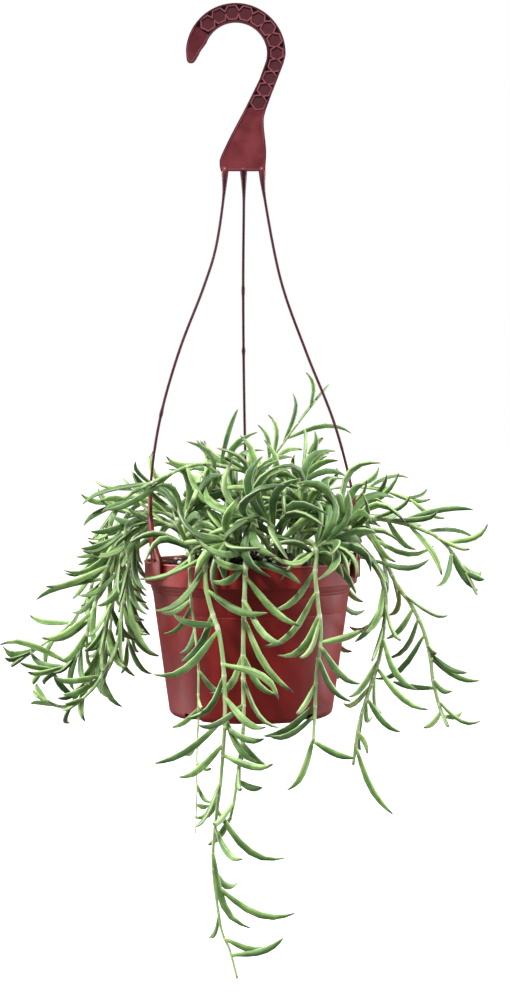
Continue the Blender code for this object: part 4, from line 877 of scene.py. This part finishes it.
def makePot(material):
    p = potSize
    bm = bmesh.new()
    spinProfile(bm, potProfile(), p["sides"])
    pot = finishMesh(bm, "pottedShell", material, sharp=p["sharp"])
    cutters = []
    for azimuth in p["drains"]:
        bm = bmesh.new()
        bmesh.ops.create_cube(bm, size=1.0)
        size = Vector((p["drainReach"] * 2, p["drainWide"], p["drainHigh"] * 2)) * mm
        bmesh.ops.scale(bm, verts=bm.verts, vec=size)
        bmesh.ops.bevel(bm, geom=bm.edges[:], offset=p["drainRound"] * mm, segments=3, profile=0.5,
                        affect="EDGES", material=-1)
        pose = (Matrix.Translation(place(0, 0, -p["height"]))
                @ Matrix.Rotation(math.radians(azimuth), 4, "Z")
                @ Matrix.Translation((p["base"] * mm, 0, 0)))
        bmesh.ops.transform(bm, matrix=pose, verts=bm.verts)
        cutters.append(rawObject(bm, "drain%d" % azimuth))
    combine(pot, cutters)
    sharpen(pot, p["sharp"])
    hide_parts("pot")
    print("pot turned, with", len(p["drains"]), "drain notches")


# The hanger: a flat hook with sunk cells. Its lines are (x, z) from the centre of its crown.
hookSize = {
    "crown": 21.7, "outer": 34.7, "thick": 4.0, "innerEnds": (-14, 160), "outerEnds": (-2, 176),
    "rim": 0.9, "lip": 1.4, "panel": 0.45, "pit": 1.5, "pitStart": 146, "pitEnd": -38.6,
    "cellWall": 0.9, "cellFloor": 0.9, "cellPath": 28.4, "cellAngles": (133, 19), "cells": 7,
    "shankCells": ((28.6, 0.2), (27.3, -8.2), (23.5, -16.9), (20.0, -25.0), (16.0, -33.8)),
    "tip": ((-34.4, -0.8), (-34.0, -4.6), (-32.2, -6.3), (-29.2, -5.9), (-26.6, -2.2), (-24.4, 2.0)),
    "shankOuter": ((33.2, -6.8), (28.8, -18.0), (23.6, -31.5), (20.0, -42.3), (19.6, -50.3),
                   (21.2, -67.8), (20.4, -81.2)),
    "shankInner": ((-10.4, -81.2), (-11.3, -74.3), (-6.8, -63.6), (-1.4, -52.9), (6.7, -37.7),
                   (16.5, -18.0)),
    "sharp": 35, "step": 3.0,
}


def onHook(x, y, z):  # mm from the centre of the hook's crown
    return Vector((x * mm, y * mm, (z - hookSize["crown"]) * mm))


def arc(radius, start, end, count):
    angles = np.radians(np.linspace(start, end, count))
    return [(radius * math.cos(a), radius * math.sin(a)) for a in angles]


def smoothLine(points, step):
    return [tuple(p[:2]) for p in smoothPath([(*p, 0) for p in points], step)[0]]


def aside(points, distance):  # a line of (x, z) points moved sideways
    line = np.array(points, float)
    ahead = directions(line)
    return [tuple(p) for p in line + np.column_stack([-ahead[:, 1], ahead[:, 0]]) * distance]


def hookOutline():
    h = hookSize
    return (smoothLine(h["shankInner"], h["step"]) + arc(h["crown"], *h["innerEnds"], 44)
            + smoothLine(h["tip"], 1.2)[::-1] + arc(h["outer"], *h["outerEnds"], 60)[::-1]
            + smoothLine(h["shankOuter"], h["step"]))


def pitOutline():  # the sunk band that the cells stand in, from the first cell to the last
    h = hookSize
    sides = []
    for radius, ends, shank, last, inward in (
            (h["crown"], h["innerEnds"], h["shankInner"][:2:-1], h["pitEnd"], 1),
            (h["outer"], h["outerEnds"], h["shankOuter"][:4], h["pitEnd"] + 4, -1)):
        line = arc(radius, h["pitStart"], ends[0], 40)
        line += [p for p in smoothLine(shank, h["step"]) if p[1] > last]
        sides.append(aside(line, inward * (h["rim"] + 0.25)))
    return sides[0] + sides[1][::-1]


def hookSlab(outline, front, back, inset=0):  # a solid between two depths, drawn in by inset mm
    bm = bmesh.new()
    face = bm.faces.new([bm.verts.new(onHook(x, front, z)) for x, z in outline])
    if inset:
        bm.normal_update()
        border = bmesh.ops.inset_region(bm, faces=[face], thickness=inset * mm, use_even_offset=True,
                                        use_boundary=True)["faces"]
        bmesh.ops.delete(bm, geom=border, context="FACES")
    thicken(bm, bm.faces[:], (0, (back - front) * mm, 0))
    return bm


def hexPrism(name, x, z, radius, front, back, turn):  # the wall or the hole of a cell
    bm = bmesh.new()
    pose = (Matrix.Translation(onHook(x, front, z)) @ Matrix.Rotation(turn, 4, "Y")
            @ Matrix.Rotation(math.radians(90), 4, "X"))
    firstRing(bm, 6, radius * mm, pose)
    thicken(bm, bm.faces[:], (0, (back - front) * mm, 0))
    return rawObject(bm, name)


def hookPlate(material):
    h = hookSize
    half = h["thick"] / 2
    plate = finishMesh(hookSlab(hookOutline(), -half, half), "hangerHook", material, sharp=h["sharp"])
    panel = hookSlab(hookOutline(), -half - 1, -half + h["panel"], h["lip"])
    combine(plate, [rawObject(panel, "hookPanel")])
    combine(plate, [rawObject(hookSlab(pitOutline(), -half - 1, -half + h["pit"]), "hookPit")])
    centres = arc(h["cellPath"], *h["cellAngles"], h["cells"]) + list(h["shankCells"])
    walls, holes = [], []
    for number, (x, z) in enumerate(centres):
        before, after = centres[max(0, number - 1)], centres[min(len(centres) - 1, number + 1)]
        turn = -math.atan2(after[1] - before[1], after[0] - before[0]) + math.radians(30)
        apart = min(math.dist((x, z), other) for other in (before, after) if other != (x, z))
        corner = (apart - h["cellWall"]) / math.sqrt(3)
        walls.append(hexPrism("cellWall", x, z, corner + h["cellWall"] * 1.15, -half + 0.2,
                              -half + h["pit"] + 0.4, turn))
        holes.append(hexPrism("cellHole", x, z, corner, -half - 1, -half + h["cellFloor"], turn))
    combine(plate, walls, "UNION")
    combine(plate, holes)
    sharpen(plate, h["sharp"])
    shadePlate(plate.data)
    return plate, len(centres)


def shadePlate(mesh):  # how far back each point lies sets its painted highlight and its painted shade
    h = hookSize
    paintedHighlight = mesh.attributes.new("paintedHighlight", "FLOAT", "POINT")
    paintedShade = mesh.attributes.new("paintedShade", "FLOAT", "POINT")
    depths = [vert.co.y / mm + h["thick"] / 2 for vert in mesh.vertices]
    pairs = [tuple(edge.vertices)[::way] for edge in mesh.edges for way in (1, -1)]
    lipInside = {near for near, far in pairs if depths[near] < 0.05 and 0.3 < depths[far] < 0.6}
    # painted shade by depth: half at the plate's outer edge, more on the cell floors, most in the pits
    shades = ((0.0, 0.5), (0.1, 0.0), (0.5, 0.0), (h["cellFloor"], 0.5), (h["pit"], 1.0),
              (h["pit"] + 0.6, 0.0))
    for number, depth in enumerate(depths):
        # painted highlight on points 0.1 to 0.4 mm back, the fronts of the cell walls
        highlightShare = np.interp(depth, (0.05, 0.1, 0.4, 0.45), (0.0, 1.0, 1.0, 0.0))
        shade = np.interp(depth, *zip(*shades))
        paintedHighlight.data[number].value = 1.0 if number in lipInside else float(highlightShare)
        paintedShade.data[number].value = 0.0 if number in lipInside else float(shade)


def hangerWires(material):
    w = wireSize
    bm = bmesh.new()
    for name, points in wires.items():
        path, _ = smoothPath(points, w["step"])
        top = np.clip(1 - (points[0][2] - path[:, 2] - w["taperStart"]) / w["taper"], 0, 1)
        foot = np.clip(1 - (path[:, 2] - points[-1][2]) / w["foot"], 0, 1)
        radii = w["radius"] + (w["root"] - w["radius"]) * (top ** 1.6 + foot)
        for at in w["knuckles"][name]:
            radii = radii + w["knuckle"] * np.exp(-((path[:, 2] - at) / w["knuckleLong"]) ** 2)
        sweep(bm, path, radii, w["sides"])
    return finishMesh(bm, "hangerWires", material)


def addClip(bm, name, azimuth):  # a saddle over the rim, and the flared tab that the wire ends in
    c = clip
    half = math.degrees(c["width"] / 2 / c["outside"])
    start, angle = math.radians(azimuth - half), math.radians(azimuth)
    inFlap, outFlap = c["inside"] + c["flap"], c["outside"] - c["flap"]
    outline = ((c["inside"], -c["innerDrop"]), (c["inside"], c["top"]), (c["outside"], c["top"]),
               (c["outside"], -c["outerDrop"]), (outFlap, -c["outerDrop"]), (outFlap, c["over"]),
               (inFlap, c["over"]), (inFlap, -c["innerDrop"]))
    corners = [place(r * math.sin(start), -r * math.cos(start), z) for r, z in outline]
    face = bm.faces.new([bm.verts.new(corner) for corner in corners])
    bmesh.ops.spin(bm, geom=[face], cent=place(0, 0, 0), axis=(0, 0, 1), angle=math.radians(2 * half),
                   steps=6)
    out = Vector((math.sin(angle), -math.cos(angle), 0))
    along = Vector((math.cos(angle), math.sin(angle), 0))
    x, y, z = smoothPath(wires[name], wireSize["step"])[0][::-1].T
    rows = []
    for level, halfWidth in c["tabHalfWidths"]:
        middle = Vector((np.interp(level, z, x), np.interp(level, z, y), 0)) - out * c["tabDeep"] / 2
        spots = [middle + along * halfWidth * side for side in (-1, 1)]
        rows.append([bm.verts.new(place(spot.x, spot.y, level)) for spot in spots])
    blade = [bm.faces.new((*upper, *lower[::-1])) for upper, lower in zip(rows, rows[1:])]
    thicken(bm, blade, out * c["tabDeep"] * mm)


def hangerClips(material):
    bm = bmesh.new()
    for name, azimuth in clip["angles"].items():
        addClip(bm, name, azimuth)
    corners = [e for e in bm.edges if e.calc_face_angle(0) > 0.6]
    bmesh.ops.bevel(bm, geom=corners, offset=clip["round"] * mm, segments=2, profile=0.5,
                    affect="EDGES", material=-1)
    return finishMesh(bm, "hangerClips", material, sharp=35)


def makeHanger(material):
    plate, cells = hookPlate(material)
    for piece in (plate, hangerWires(material), hangerClips(material)):
        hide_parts("hanger")
    print("hook with", cells, "cells,", len(wires), "wires and their clips")


# The peat and what lies on it: a bit's middle stands above the mound by lift times its size, and
# reach is how far out the bits lie, as a share of the mound's radius.
peatSize = {"rings": 60, "turns": 150, "rough": 1.5}
litter = {
    "peatCrumbs": dict(look="crumbBrown", count=1500, sizes=(0.5, 1.7), stretch=(1, 1, 0.8),
                       seed=3, lift=0.25, reach=0.97),
    "perlite": dict(look="perliteWhite", count=90, sizes=(0.8, 2.0), stretch=(1, 1, 0.85),
                    seed=5, lift=0.4, reach=0.97),
    "peatFibres": dict(look="fibreBrown", count=120, sizes=(0.35, 0.6), stretch=(9, 1, 1),
                       seed=8, lift=0.9, reach=0.9),
}

# A dead twig with two stubs, and a dry tendril that arches up behind it: points, thick and thin end.
twigs = (
    (((-39, 2, 4), (-41, 0, 12), (-43, -1, 20), (-44, -1, 27)), 1.1, 0.5),
    (((-42, 0, 14), (-39, 1, 17), (-37, 1, 19)), 0.6, 0.35),
    (((-43, -1, 21), (-46, -2, 23), (-47, -2, 25)), 0.6, 0.3),
    (((-38, 4, 6), (-37, 4, 14), (-34, 3, 21), (-29, 3, 24.5), (-24, 3, 24), (-21, 4, 20),
      (-20, 5, 12)), 0.4, 0.25),
)


def peatTop(x, y):  # the mound with its clods, in mm above the rim
    across = min(1.0, math.hypot(x, y) / soilSize["radius"])
    rough = (noise.fractal(Vector((x / 9, y / 9, 1.7)), 0.9, 2.1, 4)
             + 0.5 * noise.noise(Vector((x / 2.2, y / 2.2, 0))))
    return soilHeight(x, y) + (rough - 0.3) * peatSize["rough"] * (1 - across ** 6)


def makePeat(material):
    p, radius = potSize, soilSize["radius"]
    wall = len(p["steps"]) * p["stepIn"] + p["wall"]
    low = -p["height"] + p["drainHigh"] + 0.3
    profile = [(r, 0.0) for r in np.linspace(0, radius, peatSize["rings"])]
    profile += [(radius - 0.6, -p["band"] + p["wall"] + 0.6), (p["top"] - wall - 0.7, -p["band"] + 0.4),
                (outerRadius(-low) - wall - 1.7, low), (0, low)]
    bm = bmesh.new()
    spinProfile(bm, profile, peatSize["turns"])
    bmesh.ops.remove_doubles(bm, verts=bm.verts, dist=1e-6)
    rim = place(0, 0, 0)
    for vert in bm.verts:
        if abs(vert.co.z - rim.z) < 1e-6:
            vert.co.z = rim.z + peatTop((vert.co.x - rim.x) / mm, vert.co.y / mm) * mm
    peat = finishMesh(bm, "peatMound", material)
    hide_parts("soil")


def scatter(name, material, bits):
    draw = random.Random(bits["seed"])
    bm = bmesh.new()
    for _ in range(bits["count"]):
        r = soilSize["radius"] * bits["reach"] * math.sqrt(draw.random())
        a = draw.uniform(0, 2 * math.pi)
        x, y, size = r * math.cos(a), r * math.sin(a), draw.uniform(*bits["sizes"])
        lump = bmesh.ops.create_icosphere(bm, subdivisions=1, radius=size * mm)["verts"]
        for vert in lump:
            vert.co *= draw.uniform(0.7, 1.25)
        pose = (Matrix.Translation(place(x, y, peatTop(x, y) + size * bits["lift"]))
                @ Matrix.Rotation(draw.uniform(0, math.pi), 4, "Z")
                @ Matrix.Rotation(draw.uniform(-0.6, 0.6), 4, "X"))
        bmesh.ops.transform(bm, matrix=pose @ Matrix.Diagonal((*bits["stretch"], 1)), verts=lump)
    made = finishMesh(bm, name, material, clean=False)


def makeLitter():
    finishes = {bits["look"]: plainFinish(bits["look"]) for bits in litter.values()}
    for name, bits in litter.items():
        scatter(name, finishes[bits["look"]], bits)
    bm = bmesh.new()
    for points, thick, thin in twigs:
        path, _ = smoothPath(points, 1.2)
        sweep(bm, path, np.linspace(thick, thin, len(path)), 7)
    made = finishMesh(bm, "deadTwig", finishes["fibreBrown"])
    print("peat with", litter["peatCrumbs"]["count"], "crumbs and", litter["perlite"]["count"],
          "bits of perlite")


# The floor, the light and the camera. The floor and the lamps (spot, size, power) are in metres and
# watts; what the lamps aim at, the camera and its target are in mm from the rim centre.
studio = {
    "floorDrop": 0.08, "floorSize": 30.0, "sky": 0.3, "lens": 77.1, "aim": -20,
    "sun": 4.9, "sunSpread": 12, "sunFrom": (-0.35, -0.75, 1.3),
    "camera": (2.8, -1500.0, 98.0), "target": (2.8, 0.0, 42.0),
    "lamps": {"left": ((-1.2, 0.25, -0.2), (0.8, 1.4), 27),
              "right": ((1.2, 0.25, -0.2), (0.8, 1.4), 29),
              "back": ((0.2, 1.4, 0.5), (1.2, 0.8), 14)},
}


def aimed(name, data, spot, ahead):
    made = addObject(name, data)
    made.location = spot
    made.rotation_mode = "QUATERNION"
    made.rotation_quaternion = ahead.to_track_quat("-Z", "Y")
    return made


def makeFloor():
    bm = bmesh.new()
    bmesh.ops.create_grid(bm, x_segments=2, y_segments=2, size=studio["floorSize"])
    bmesh.ops.translate(bm, verts=bm.verts, vec=(0, 0, cadBox[0].z - studio["floorDrop"]))
    floor = addObject("floor", addMesh(bm, "floor"))
    floor.data.materials.append(plainFinish("floorPaint"))
    floor.visible_diffuse = floor.visible_glossy = False  # it throws no light up into the plant


def makeWorld():
    world = bpy.data.worlds.new("studio")
    world.use_nodes = True
    nodes, links = world.node_tree.nodes, world.node_tree.links
    sky, path = nodes["Background"], nodes.new("ShaderNodeLightPath")
    glow = nodes.new("ShaderNodeMapRange")  # seen straight on, the backdrop is plain white
    glow.inputs["To Min"].default_value, glow.inputs["To Max"].default_value = studio["sky"], 1.0
    links.new(path.outputs["Is Camera Ray"], glow.inputs["Value"])
    links.new(glow.outputs["Result"], sky.inputs["Strength"])
    sky.inputs["Color"].default_value = (1.0, 1.0, 1.0, 1.0)
    bpy.context.scene.world = world


def makeLights():
    sun = bpy.data.lights.new("softSun", "SUN")
    sun.energy, sun.angle = studio["sun"], math.radians(studio["sunSpread"])
    aimed("softSun", sun, Vector(), -Vector(studio["sunFrom"]))
    for name, (spot, size, power) in studio["lamps"].items():
        lamp = bpy.data.lights.new(name, "AREA")
        lamp.shape, lamp.energy = "RECTANGLE", power
        lamp.size, lamp.size_y = size
        aimed(name, lamp, Vector(spot), place(0, 0, studio["aim"]) - Vector(spot))


def makeCamera():
    lens = bpy.data.cameras.new("camera")
    lens.lens, lens.sensor_width = studio["lens"], 36.0
    spot = place(*studio["camera"])
    bpy.context.scene.camera = aimed("camera", lens, spot, place(*studio["target"]) - spot)
    bpy.context.scene.view_settings.view_transform = "Standard"


makeFloor()
makeWorld()
makeLights()
makeCamera()
print("floor, camera and", len(studio["lamps"]) + 1, "lights set")
makePot(potFinish())
makeHanger(hangerFinish())
makePeat(peatFinish())
makeLitter()
growPlant(leafFinish())
